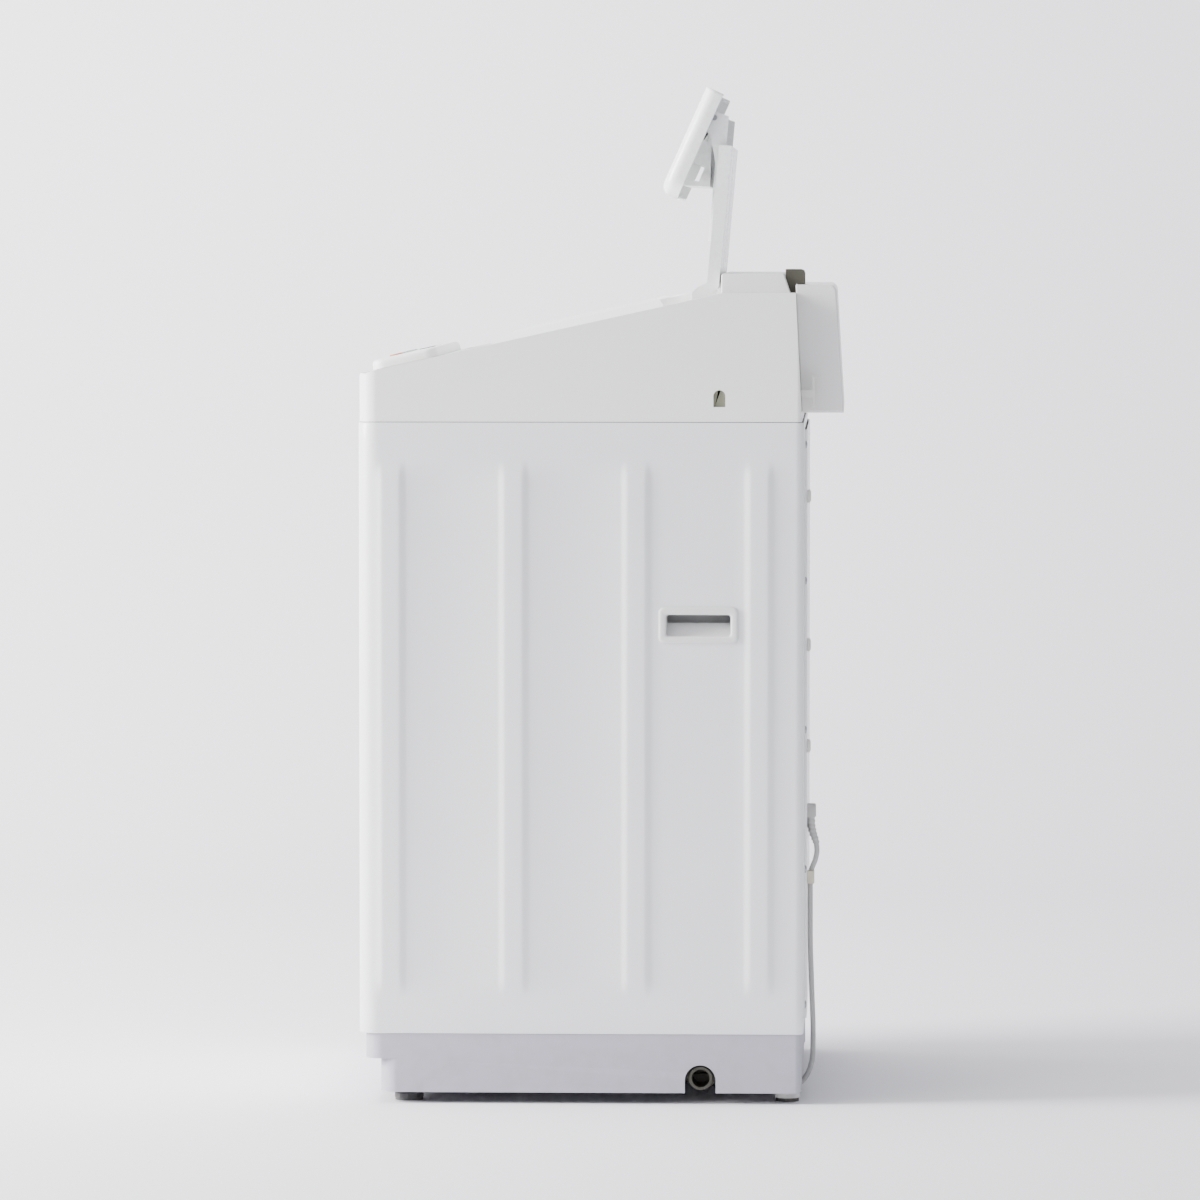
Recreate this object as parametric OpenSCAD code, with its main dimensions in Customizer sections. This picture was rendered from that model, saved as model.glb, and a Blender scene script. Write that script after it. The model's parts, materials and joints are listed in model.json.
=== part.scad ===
// Top load washing machine with a two-panel folding lid.
// Front faces -Y, rear faces +Y. The origin is on the floor under the middle of the outer box.

/* [Cabinet] */
// Width of the cabinet, side to side
cab_w = 526; // [500:1:600]
// Depth of the cabinet, front to rear
cab_d = 477; // [462:1:520]
// Height of the cabinet's lower edge above the floor
cab_z0 = 75; // [70:1:90]
// Height of the line where the top cover sits on the cabinet
cab_z1 = 730.5; // [715:0.5:860]
// Thickness of the cabinet sheet
sheet_t = 1; // [0.8:0.1:2]
// Radius of the cabinet's front corners
front_r = 20; // [12:1:30]
// Radius of the cabinet's rear corners
rear_r = 8; // [5:1:10]

/* [Side ribs] */
// Width of one pressed rib
rib_w = 35; // [20:1:45]
// Height that a rib stands out of the side
rib_h = 2.5; // [1.5:0.5:4]
// Distance between neighbouring ribs
rib_pitch = 131.4; // [110:0.2:135]
// Place of the rearmost rib behind the cabinet's middle
rib_last_y = 190.6; // [170:0.2:195]
// Distance from the cabinet's lower and upper edges to the rib ends
rib_end = 37; // [25:1:60]

/* [Base] */
// Gap under the base, which the feet stand in
base_lift = 12; // [10:1:20]
// Wall thickness of the base and of the top cover
wall = 3; // [2:0.5:4]
// Height of the toe step
toe_z = 48; // [40:1:55]
// Depth of the toe step
toe_in = 16; // [8:1:25]
// Radius of the drain notch
notch_r = 16.5; // [14:0.5:20]
// Place of the drain notch behind the cabinet's middle
notch_y = 128; // [110:1:140]
// Height of the drain notch's middle above the base's lower edge
notch_up = 13.5; // [13:0.5:16]
// Radius of a rear foot
foot_r = 13.5; // [11:0.5:16]
// Radius of a levelling foot's stem
stem_r = 5; // [4:0.5:6]

/* [Top cover] */
// Height of the flat rear part of the top cover
flat_z = 868.3; // [850:0.1:900]
// Place where the flat part meets the slope, behind the middle
flat_y = 151; // [140:1:155]
// Slope of the top cover, degrees
slope_a = 12.5; // [8:0.5:14]
// Depth of the well that the lid lies in
well_deep = 12; // [8:1:14]
// Half-width of the loading opening
mouth_x = 168; // [150:1:170]
// Front edge of the loading opening
mouth_y0 = -118; // [-122:1:-112]
// Rear edge of the loading opening
mouth_y1 = 100; // [90:1:104]
// Corner radius of the loading opening
mouth_r = 20; // [18:1:24]
// Height of the side rims above the edge line
rim_h = 7.4; // [4:0.2:7.6]

// Height of the raised rails beside the lid
rail_h = 9.5; // [4:0.5:12]
// Height of the control fascia above the slope
fascia_h = 10.5; // [6:0.5:12]

/* [Lid] */
// Half-width of the lid
lid_x = 205; // [200:1:206]
// Rear pivot behind the cabinet's middle
pivot_y = 139.2; // [136:0.2:140]
// Height of the rear pivot above the flat rear part
pivot_up = 8.7; // [8:0.1:12]
// Distance along the lid from the rear pivot to the fold pin
fold_s = 178.4; // [170:0.2:182]
// Depth of the fold pin below the rear pivot's level in the lid
fold_t = 14.1; // [12:0.1:16]
// Distance from the rear pivot to the lid's outer face
skin_up = 7; // [6:0.5:9]
// Reach of the front panel past the fold pin
tip_s = 97; // [90:1:100]
// Lean of the open rear panel behind upright, degrees
open_lean = 5.1; // [0:0.1:10]
// Turn of the fold for each degree of the rear hinge
fold_ratio = 1.51; // [1.45:0.01:1.53]
// Radius of the hinge pins
pin_r = 3; // [2.5:0.5:4]

/* [Wash unit] */
// Outer radius of the tub
tub_r = 218; // [205:1:219]
// Height of the tub's underside
tub_z0 = 262; // [255:1:275]
// Height of the tub's rim
tub_z1 = 690; // [670:1:692]
// Distance from the tub's outside to the basket
basket_gap = 18; // [15:1:30]
// Width of the balance ring
ring_w = 35; // [30:1:45]
// Distance from the basket's outside to the pulsator's rim
pulsator_gap = 50; // [40:1:70]
// Radius of the wash shaft
shaft_r = 8; // [6:0.5:10]
// Radius of the spin shaft
spin_r = 15; // [13:0.5:18]
// Radius of the drive pulley
drive_r = 90; // [70:1:95]
// Radius of the motor pulley
motor_r = 22; // [18:1:30]
// Radius of a suspension rod
rod_r = 4; // [3:0.5:5]
// Distance from the rods to the cabinet's side walls
rod_in = 57; // [52:1:62]

/* [Clearances] */
// Gap all round a piece that fits into an opening
fit_gap = 0.3; // [0.2:0.1:0.5]
// Radial clearance of a turning or sliding fit
run_gap = 0.05; // [0.02:0.01:0.08]
// Gap between pieces that move past each other
move_gap = 1.5; // [1:0.5:3]
// Room behind the open lid, in front of the rear cover
lid_room = 2.8; // [2:0.2:4]

/* [Hidden] */
basket_r = tub_r - basket_gap;
ring_in_r = basket_r - ring_w;
pulsator_r = basket_r - pulsator_gap;
$fn = 64;
e = 0.02;

// Depth of the rear box behind the cabinet, at its foot and at its head
box_out0 = 42;
box_out1 = 34;
// The cabinet's middle sits in front of the origin, which is under the middle of the outer box
mid_y = -box_out0 / 2;
hx = cab_w / 2;
hy = cab_d / 2;
pivot_z = flat_z + pivot_up;
slope_t = tan(slope_a);
cap_y = hy - 2.5;
box_z0 = cab_z1 + 9.5;
box_z1 = flat_z + 8.7;

// Lid angles: closed slope, rear panel open, front panel open
shut_a = slope_a - 1;
swing = 90 + shut_a + open_lean;
rear_open_a = shut_a - swing;
front_open_a = rear_open_a + fold_ratio * swing;
// Fold pin's place when the lid stands open
fold_y = pivot_y - fold_s * cos(rear_open_a) + fold_t * sin(rear_open_a);
fold_z = pivot_z - fold_s * sin(rear_open_a) - fold_t * cos(rear_open_a);
skin_t = 2.5;
joint_s = fold_s - 28.5;
front_skin = skin_up + fold_t;
bumper_y = -62;

// Power cord route, from the gland to the coil, millimetres in the machine's own frame
cord_r = 3;
cord_path = [[140, 223.8, 300], [140, 224.8, 290], [140, 227, 281], [140, 230, 272], [140, 231, 262],
    [140, 229, 252], [140, 225.6, 244], [140, 223.8, 234], [140, 223.8, 216], [140, 223.8, 190],
    [140, 224, 160], [140, 225, 130], [140, 226, 100], [140, 227, 75], [140, 227, 50],
    [140, 226, 34], [140, 221, 19], [140, 212, 8], [139, 200, 3.2], [136, 183, 3.2],
    [128, 160, 3.2], [110, 130, 3.2], [80, 100, 3.2], [40, 75, 3.2], [-10, 55, 3.2],
    [-70, 44, 3.2], [-130, 39, 3.2], [-190, 37, 3.2], [-240, 37, 3.2], [-280, 37, 3.2],
    [-314, 37, 3.2]];
coil_c = [-330, -2];
coil_mid_r = 33;
coil_turn_r = 9;
coil_h = 12.5;

function slope_z(y) = y < flat_y ? flat_z - (flat_y - y) * slope_t : flat_z;
function rear_edge_y(z) = cap_y - 7 * (z - cab_z1) / (flat_z - cab_z1);

// ---- Helpers ----
// Cabinet-centred drawing, moved to the frame's origin
module seat() { translate([0, mid_y, 0]) children(); }
// A side outline (Y, Z) drawn through from x0 to x1
module side_prism(points, x0, x1) {
    translate([x0, 0, 0]) rotate([90, 0, 90]) linear_extrude(x1 - x0) polygon(points);
}
module both_sides() {
    children();
    mirror([1, 0, 0]) children();
}
module x_rod(r, x0, x1) { translate([x0, 0, 0]) rotate([0, 90, 0]) cylinder(r=r, h=x1 - x0); }
module block(a, b) { translate(a) cube(b - a); }
// Rounded rectangle from two corners
module soft_rect(a, b, r) {
    translate([a[0] + r, a[1]]) square([b[0] - a[0] - 2 * r, b[1] - a[1]]);
    translate([a[0], a[1] + r]) square([b[0] - a[0], b[1] - a[1] - 2 * r]);
    for (x = [a[0] + r, b[0] - r], y = [a[1] + r, b[1] - r]) translate([x, y]) circle(r=r);
}
// Plan of the body with different front and rear corners, drawn in by a margin
module body_plan(m, y0=-hy, y1=hy) {
    w = hx - m;
    f = y0 + m;
    r = y1 - m;
    fr = front_r - min(m, front_r - 3);
    rr = rear_r - min(m, rear_r - 3);
    translate([-w, f + fr]) square([2 * w, r - f - fr - rr]);
    translate([-w + fr, f]) square([2 * w - 2 * fr, fr + 1]);
    translate([-w + rr, r - rr - 1]) square([2 * w - 2 * rr, rr + 1]);
    for (s = [-1, 1]) {
        translate([s * (w - fr), f + fr]) circle(r=fr);
        translate([s * (w - rr), r - rr]) circle(r=rr);
    }
}
module tube_z(r_out, r_in, z0, z1) {
    translate([0, 0, z0]) difference() {
        cylinder(r=r_out, h=z1 - z0);
        translate([0, 0, -1]) cylinder(r=r_in, h=z1 - z0 + 2);
    }
}
// Frame lying on the top cover's slope at a given place
module on_slope(y) { translate([0, y, slope_z(y)]) rotate([slope_a, 0, 0]) children(); }
// Swept round tube through ring centres
function unit(v) = v / norm(v);
function sweep_ring(p, t, up, r, n) = let (a = unit(cross(up, t)), b = cross(t, a))
    [for (i = [0:n - 1]) p + r * (cos(360 * i / n) * a + sin(360 * i / n) * b)];
function tangent(p, i) = unit(p[min(i + 1, len(p) - 1)] - p[max(i - 1, 0)]);
module sweep(p, r, n, up) {
    pts = [for (i = [0:len(p) - 1]) each sweep_ring(p[i], tangent(p, i), up, r, n)];
    m = len(p);
    sides = [for (i = [0:m - 2], j = [0:n - 1], k = [0, 1]) let (a = i * n + j, b = i * n + (j + 1) % n)
        k == 0 ? [a, b, b + n] : [a, b + n, a + n]];
    polyhedron(pts, concat([[for (j = [n - 1:-1:0]) j]], sides, [[for (j = [0:n - 1]) (m - 1) * n + j]]));
}
function catmull(a, b, c, d, t) = 0.5 * (2 * b + (c - a) * t + (2 * a - 5 * b + 4 * c - d) * t * t
    + (3 * b - a - 3 * c + d) * t * t * t);
function smooth(p, k) = let (m = len(p)) concat([for (i = [0:m - 2], j = [0:k - 1])
    catmull(p[max(i - 1, 0)], p[i], p[i + 1], p[min(i + 2, m - 1)], j / k)], [p[m - 1]]);

// ---- Cabinet and base ----
module rib(y, grow, shift) {
    x = hx + shift;
    z0 = cab_z0 + rib_end;
    z1 = cab_z1 - rib_end;
    intersection() {
        translate([0, y, z0]) linear_extrude(z1 - z0)
            polygon([[x - 0.6, -rib_w / 2], [x, -rib_w / 2], [x + grow, -rib_w / 2 + 9],
                [x + grow, rib_w / 2 - 9], [x, rib_w / 2], [x - 0.6, rib_w / 2]]);
        translate([0, y + rib_w / 2, 0]) rotate([90, 0, 0]) linear_extrude(rib_w)
            polygon([[x - 0.6, z0], [x, z0], [x + grow, z0 + 26], [x + grow, z1 - 26], [x, z1], [x - 0.6, z1]]);
    }
}
module ribs(shift) {
    for (i = [0:3]) rib(rib_last_y - i * rib_pitch, rib_h, shift);
}
handle_y = [83.3, 168.2];
handle_z = [495, 533.5];
handle_lip = 6;
module handle_hole(grow) {
    block([hx - 30, handle_y[0] + handle_lip - grow, handle_z[0] + handle_lip - grow],
        [hx + 5, handle_y[1] - handle_lip + grow, handle_z[1] - handle_lip + grow]);
}
module cabinet() {
    color("gainsboro") seat() difference() {
        union() {
            translate([0, 0, cab_z0]) linear_extrude(cab_z1 - cab_z0) body_plan(0);
            both_sides() ribs(0);
        }
        translate([0, 0, cab_z0 + sheet_t]) linear_extrude(cab_z1 - cab_z0 - sheet_t + 1) body_plan(sheet_t);
        both_sides() ribs(-sheet_t);
        translate([0, 0, cab_z0 - 1]) linear_extrude(5) body_plan(18);
        block([-panel_x + 16, hy - 5, panel_z0 + 10], [panel_x - 16, hy + 5, panel_z1 - 10]);
        both_sides() handle_hole(0);
    }
}
base_y0 = -hy + 7;
base_y1 = hy - 2.5;
foot_x = hx - 38;
rear_foot_y = hy - 17.5;
front_foot_y = -hy + 52;
module base_plan(m, toe) { body_plan(m + 1.5, base_y0 + toe - 1.5, base_y1 + 1.5); }
module base() {
    color("lavender") seat() difference() {
        union() {
            difference() {
                union() {
                    translate([0, 0, toe_z]) linear_extrude(cab_z0 - toe_z) base_plan(0, 0);
                    translate([0, 0, base_lift]) linear_extrude(toe_z - base_lift + 1) base_plan(0, toe_in);
                }
                translate([0, 0, toe_z + wall]) linear_extrude(cab_z0 - toe_z - 2 * wall) base_plan(wall, 0);
                translate([0, 0, base_lift - 1]) linear_extrude(cab_z0 - base_lift + 1 - wall)
                    base_plan(wall, toe_in);
                translate([0, 0, cab_z0 - 5]) linear_extrude(6) body_plan(46);
            }
            for (x = [-foot_x, foot_x], y = [front_foot_y, rear_foot_y]) translate([x, y, base_lift])
                cylinder(r=16, h=cab_z0 - base_lift - 1);
        }
        both_sides() {
            translate([0, notch_y, base_lift + notch_up]) x_rod(notch_r, hx - 40, hx + 5);
            block([hx - 40, notch_y - notch_r, base_lift - 1], [hx + 5, notch_y + notch_r, base_lift + notch_up]);
        }
        for (x = [-foot_x, foot_x]) {
            translate([x, front_foot_y, base_lift - 1]) cylinder(r=stem_r + run_gap, h=50);
            translate([x, rear_foot_y, base_lift - 1]) cylinder(r=6 + run_gap, h=31);
        }
        // relief under the rear edge for the cord
        side_prism([[base_y1 - 9, base_lift - 1], [base_y1 + 2, base_lift - 1], [base_y1 + 2, base_lift + 9]],
            cord_path[0][0] - 20, cord_path[0][0] + 20);
    }
}
module rear_feet() {
    color("whitesmoke") seat() for (x = [-foot_x, foot_x]) translate([x, rear_foot_y, 0]) {
        translate([0, 0, 4]) cylinder(r=foot_r, h=base_lift - 4);
        translate([0, 0, base_lift - 1]) cylinder(r=6, h=29);
    }
}
module rear_foot_pads() {
    color("dimgray") seat() for (x = [-foot_x, foot_x]) translate([x, rear_foot_y, 0])
        cylinder(r=foot_r - 1, h=4);
}
module levelling_foot(x) {
    color("dimgray") seat() translate([x, front_foot_y, 0]) {
        cylinder(r=15, h=3);
        translate([0, 0, 3]) cylinder(r=16, h=5, $fn=10);
        translate([0, 0, 7]) cylinder(r=stem_r, h=48);
    }
}
module levelling_foot_left() { levelling_foot(-foot_x); }
module levelling_foot_right() { levelling_foot(foot_x); }

// ---- Carry handles, back panel and rear details ----
module handle_cups() {
    color("whitesmoke") seat() both_sides() difference() {
        union() {
            translate([hx, 0, 0]) rotate([90, 0, 90]) linear_extrude(2)
                soft_rect([handle_y[0], handle_z[0]], [handle_y[1], handle_z[1]], 6);
            intersection() {
                handle_hole(-fit_gap);
                block([hx - 24, 0, 0], [hx + 1, hy, cab_z1]);
            }
        }
        side_prism([[handle_y[0] + 8, handle_z[0] + 7.5], [handle_y[1] - 8, handle_z[0] + 7.5],
            [handle_y[1] - 8, handle_z[1] - 8.3], [handle_y[0] + 8, handle_z[1] - 8.3]], hx - 22, hx + 5);
    }
}
panel_x = 228;
panel_z0 = 88;
panel_z1 = 722;
panel_out = 3;
module back_panel() {
    color("gainsboro") seat() difference() {
        translate([0, 0, panel_z0]) linear_extrude(panel_z1 - panel_z0)
            polygon([[-panel_x, hy], [-panel_x + 12, hy], [-panel_x + 18, hy + panel_out - 1],
                [panel_x - 18, hy + panel_out - 1], [panel_x - 12, hy], [panel_x, hy],
                [panel_x, hy + 1], [panel_x - 12, hy + 1], [panel_x - 18, hy + panel_out],
                [-panel_x + 18, hy + panel_out], [-panel_x + 12, hy + 1], [-panel_x, hy + 1]]);
        block([cord_path[0][0] - slot_r, hy - 5, 268], [cord_path[0][0] + slot_r, hy + 10, cord_path[0][2] + 15]);
    }
}
clip_z = [650, 490, 381];
module cable_clips() {
    color("whitesmoke") seat() for (z = clip_z) translate([panel_x - 30, hy + panel_out, z])
        side_prism([[0, -7], [2.5, -7], [4, -5], [4, 5], [2.5, 7], [0, 7]], -5, 5);
}
module hose_hooks() {
    color("whitesmoke") seat() both_sides() {
        side_prism([[rear_edge_y(box_z0 + 17), box_z0 + 17], [rear_edge_y(box_z0 + 25), box_z0 + 25],
            [hy + 8, box_z0 + 25], [hy + 8, box_z0 + 40], [hy + 11, box_z0 + 40], [hy + 11, box_z0 + 7],
            [hy + 8, box_z0 + 7], [hy + 8, box_z0 + 17]], box_x + 10, box_x + 22);
    }
}
box_x = 215;
module rear_box() {
    color("gainsboro") seat() difference() {
        side_prism([[rear_edge_y(box_z0), box_z0], [hy + box_out0, box_z0], [hy + box_out1, box_z1 - 5],
            [hy + box_out1 - 4, box_z1], [rear_edge_y(box_z1), box_z1]], -box_x, box_x);
        side_prism([[hy - 12, box_z0 + wall], [hy + box_out0 - wall, box_z0 + wall],
            [hy + box_out1 - wall, box_z1 - wall], [hy - 12, box_z1 - wall]], -box_x + wall, box_x - wall);
    }
}
cover_z1 = flat_z + 20.5;
cover_y0 = pivot_y + skin_up + lid_room;
cover_y1 = hy - 15.5;
module rear_cover() {
    color("whitesmoke") seat() difference() {
        side_prism([[cover_y0, flat_z], [cover_y0, cover_z1 - 1.5], [cover_y0 + 1.5, cover_z1],
            [cover_y1 - 7, cover_z1], [cover_y1, flat_z]], -box_x, box_x);
        side_prism([[cover_y0 + wall, flat_z - 1], [cover_y0 + wall, cover_z1 - wall],
            [cover_y1 - 7 - wall, cover_z1 - wall], [cover_y1 - wall, flat_z - 1]], -box_x + wall, box_x - wall);
        block([port_x - 32, cover_y1 - 12, flat_z - 1], [port_x + 32, cover_y1 + 5, cover_z1 + 1]);
    }
}
port_x = 150;
port_y0 = cover_y1 - 5.5;
port_y1 = hy - e;
port_z1 = flat_z + 25.2;
port_bore_r = 8;
module inlet_port() {
    color("dimgray") seat() difference() {
        side_prism([[port_y0, flat_z], [port_y0 + 11, flat_z], [port_y0 + 11, box_z1 + 0.4],
            [port_y1, box_z1 + 0.4], [port_y1, port_z1 - 4], [port_y1 - 1.2, port_z1 - 1.2],
            [port_y1 - 4, port_z1], [port_y0, port_z1]], port_x - 30, port_x + 30);
        translate([port_x, port_y0 + 11, box_z1 + 3]) cylinder(r=port_bore_r, h=30);
    }
}
module inlet_valve() {
    color("steelblue") seat() {
        block([port_x - 22, hy - 1, box_z0 + 40], [port_x + 22, hy + box_out1 - 8, box_z0 + 95]);
        translate([port_x, hy + 12, box_z0 + 95]) cylinder(r=10, h=25);
        block([port_x - 62, hy + 2, box_z0 + 50], [port_x - 22, hy + 22, box_z0 + 80]);
    }
}
spout_x = 60;
spout_z0 = flat_z - 71.3;
spout_z1 = spout_z0 + 15;
module fill_spout() {
    color("white") seat() difference() {
        union() {
            block([-spout_x - 10, mouth_y1 + 14, spout_z0 - 5], [spout_x + 10, cap_y - 20, spout_z1 + 4]);
            block([-spout_x, mouth_y1 + 2, spout_z0], [spout_x, mouth_y1 + 14, spout_z1]);
        }
        block([-spout_x + 3, mouth_y1 - 5, spout_z0 + 2], [spout_x - 3, cap_y - 30, spout_z1 - 2]);
    }
}
// ---- Top cover ----
cover_x = hx - 1;
module cover_side(m) {
    f = -hy + m;
    side_prism([[f, cab_z1 - 1], [f, slope_z(-hy) - 4 - m], [f + 3, slope_z(-hy) + 1 - m],
        [f + 8, slope_z(-hy + 8) - 1.5 - m], [f + 16, slope_z(-hy + 16) - m], [flat_y, flat_z - m],
        [rear_edge_y(flat_z) - m, flat_z - m], [cap_y - m + 0.05, cab_z1 - 1]], -cover_x - 1, cover_x + 1);
}
module mouth(m, z0, z1) {
    translate([0, 0, z0]) linear_extrude(z1 - z0)
        soft_rect([-mouth_x - m, mouth_y0 - m], [mouth_x + m, mouth_y1 + m], mouth_r + m);
}
arch_y = 147.9;
arch_r = 6.4;
arch_z0 = cab_z1 + 16.5;
well_x = lid_x + 4;
well_y0 = -143;
well_y1 = cover_y0 - 0.6;
// The lid well, drawn as a body below the slope, down to a given depth
module well(deep, m) {
    side_prism([[well_y0 - m, slope_z(well_y0) - deep], [well_y0 - m, flat_z + 30], [well_y1 + m, flat_z + 30],
        [well_y1 + m, slope_z(well_y1) - deep]], -well_x - m, well_x + m);
}
rim_w = 6;
rail_y0 = -98;
rail_y1 = 88;
rail_x0 = well_x + 4;
rail_x1 = hx - 9;
// Raised rail beside the lid, with sloped flanks and ends
module side_rail() {
    long = (rail_y1 - rail_y0) / cos(slope_a);
    on_slope(rail_y1) intersection() {
        rotate([90, 0, 0]) linear_extrude(long) polygon([[rail_x0, -2], [rail_x0, rail_h - 4],
            [rail_x0 + 2, rail_h - 1], [rail_x0 + 6, rail_h], [rail_x1 - 18, rail_h], [rail_x1 - 8, rail_h - 2],
            [rail_x1 - 2, 2], [rail_x1, 0], [rail_x1, -2]]);
        side_prism([[-long, -2], [-long, 0], [-long + 30, rail_h - 1], [-long + 42, rail_h],
            [-8, rail_h], [-2, rail_h - 3], [0, 0], [0, -2]], rail_x0 - 1, rail_x1 + 1);
    }
}
skirt_z0 = tub_z1 + 25;
module top_cover() {
    color("whitesmoke") seat() difference() {
        union() {
            difference() {
                intersection() {
                    cover_side(0);
                    translate([0, 0, cab_z1]) linear_extrude(flat_z) body_plan(1);
                }
                difference() {
                    intersection() {
                        cover_side(wall);
                        translate([0, 0, cab_z1 - 1]) linear_extrude(flat_z) body_plan(1 + wall);
                    }
                    well(well_deep + wall, wall);
                    // hollow of the opening's skirt is cut later
                    mouth(2.5, skirt_z0, flat_z);
                }
                well(well_deep, 0);
            }
            // side and rear rims of the opening
            intersection() {
                mouth(rim_w, cab_z1, flat_z + 20);
                side_prism([[-86, slope_z(-86) - well_deep - 1], [-86, slope_z(-86) + rim_h - 6],
                    [-78, slope_z(-78) + rim_h], [mouth_y1 + rim_w, slope_z(mouth_y1 + rim_w) + rim_h],
                    [mouth_y1 + rim_w, slope_z(mouth_y1 + rim_w) - well_deep - 1]], -well_x, well_x);
            }
            both_sides() side_rail();
            // ears that hold the rear hinge pins
            both_sides() difference() {
                union() {
                    translate([0, pivot_y, pivot_z]) x_rod(ear_r, ear_x0, ear_x1);
                    side_prism([[pivot_y - 22, slope_z(pivot_y - 22) - well_deep - 1],
                        [pivot_y - 22, pivot_z - 9], [pivot_y - 18, pivot_z - 4], [pivot_y - 12, pivot_z - 0.5],
                        [pivot_y - 3.6, pivot_z + 3.1], [pivot_y + ear_r, pivot_z],
                        [pivot_y + ear_r, flat_z - well_deep - 1]], ear_x0, ear_x1);
                }
                translate([0, pivot_y, pivot_z]) x_rod(pin_r, ear_x0 - 1, ear_x1 + 1);
            }
        }
        mouth(0, cab_z1 - 20, flat_z + 40);
        // window under the control fascia
        on_slope(fascia_y) block([-board_x - 6, -30, -20], [board_x + 6, 30, 20]);
        // slot for the fill spout
        block([-spout_x - fit_gap, mouth_y1 - 5, spout_z0 - fit_gap],
            [spout_x + fit_gap, mouth_y1 + 6, spout_z1 + fit_gap]);
        // arched holes in the sides
        both_sides() {
            block([hx - 10, arch_y - arch_r, arch_z0], [hx + 5, arch_y + arch_r, arch_z0 + 12]);
            translate([0, arch_y, arch_z0 + 11.6]) x_rod(arch_r, hx - 10, hx + 5);
        }
    }
}
ear_r = 4.8;
ear_x0 = lid_x - 19;
ear_x1 = lid_x - 8;
module lid_hinge_pins() {
    color("silver") seat() both_sides() translate([0, pivot_y, pivot_z]) x_rod(pin_r, ear_x0, lid_x - 0.5);
}
// ---- Control panel ----
fascia_y = -hy + 49;
board_x = 165;
fascia_t = 3;
fascia_x = 225;
fascia_half = 36;
fascia_r = 14;
button_row = -14;
button_half = [13, 7];
flange_z = fascia_h - fascia_t - 1.8;
module control_fascia() {
    color("white") seat() on_slope(fascia_y) difference() {
        union() {
            difference() {
                translate([0, 0, 0.1]) linear_extrude(fascia_h - 0.1)
                    soft_rect([-fascia_x, -fascia_half], [fascia_x, fascia_half], fascia_r);
                translate([0, 0, -1]) linear_extrude(fascia_h - fascia_t + 1)
                    soft_rect([-fascia_x + wall, -fascia_half + wall], [fascia_x - wall, fascia_half - wall],
                        fascia_r - wall);
            }
            for (x = [-board_x + 7, board_x - 7], y = [-20, 20]) translate([x, y, -9]) cylinder(r=3, h=fascia_h + 7);
        }
        for (i = [0:5]) button_shape(i, fit_gap, flange_z + 0.8, fascia_h + 2);
    }
}
module display_window() {
    color("darkslategray") seat() on_slope(fascia_y) translate([0, 16, fascia_h])
        linear_extrude(0.8) soft_rect([-55, -9], [55, 9], 3);
}
module control_board() {
    color("seagreen") seat() on_slope(fascia_y) {
        block([-board_x, -25, -10.6], [board_x, 25, -9]);
        for (i = [0:5]) block([button_x(i) - 3, button_row - 3, -9],
            [button_x(i) + 3, button_row + 3, -7.2]);
        block([-40, 6, -9], [40, 24, -2]);
    }
}
button_pitch = 50;
function button_x(i) = button_pitch * (i - 2.5);
module button_shape(i, grow, z0, z1) {
    translate([button_x(i), button_row, z0]) linear_extrude(z1 - z0)
        soft_rect([-button_half[0] - grow, -button_half[1] - grow],
            [button_half[0] + grow, button_half[1] + grow], 5 + grow);
}
module button(i) {
    seat() on_slope(fascia_y) {
        button_shape(i, 0, flange_z, fascia_h + 1.4);
        button_shape(i, 2.5, flange_z, flange_z + 1.5);
        translate([button_x(i), button_row, -6]) cylinder(r=2, h=flange_z + 6.8);
    }
}
module power_on_button() { color("tomato") button(5); }
module power_off_button() { color("lightgray") button(4); }
module start_button() { color("lightgray") button(3); }
module course_button() { color("lightgray") button(2); }
module water_level_button() { color("lightgray") button(1); }
module timer_button() { color("lightgray") button(0); }

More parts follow.
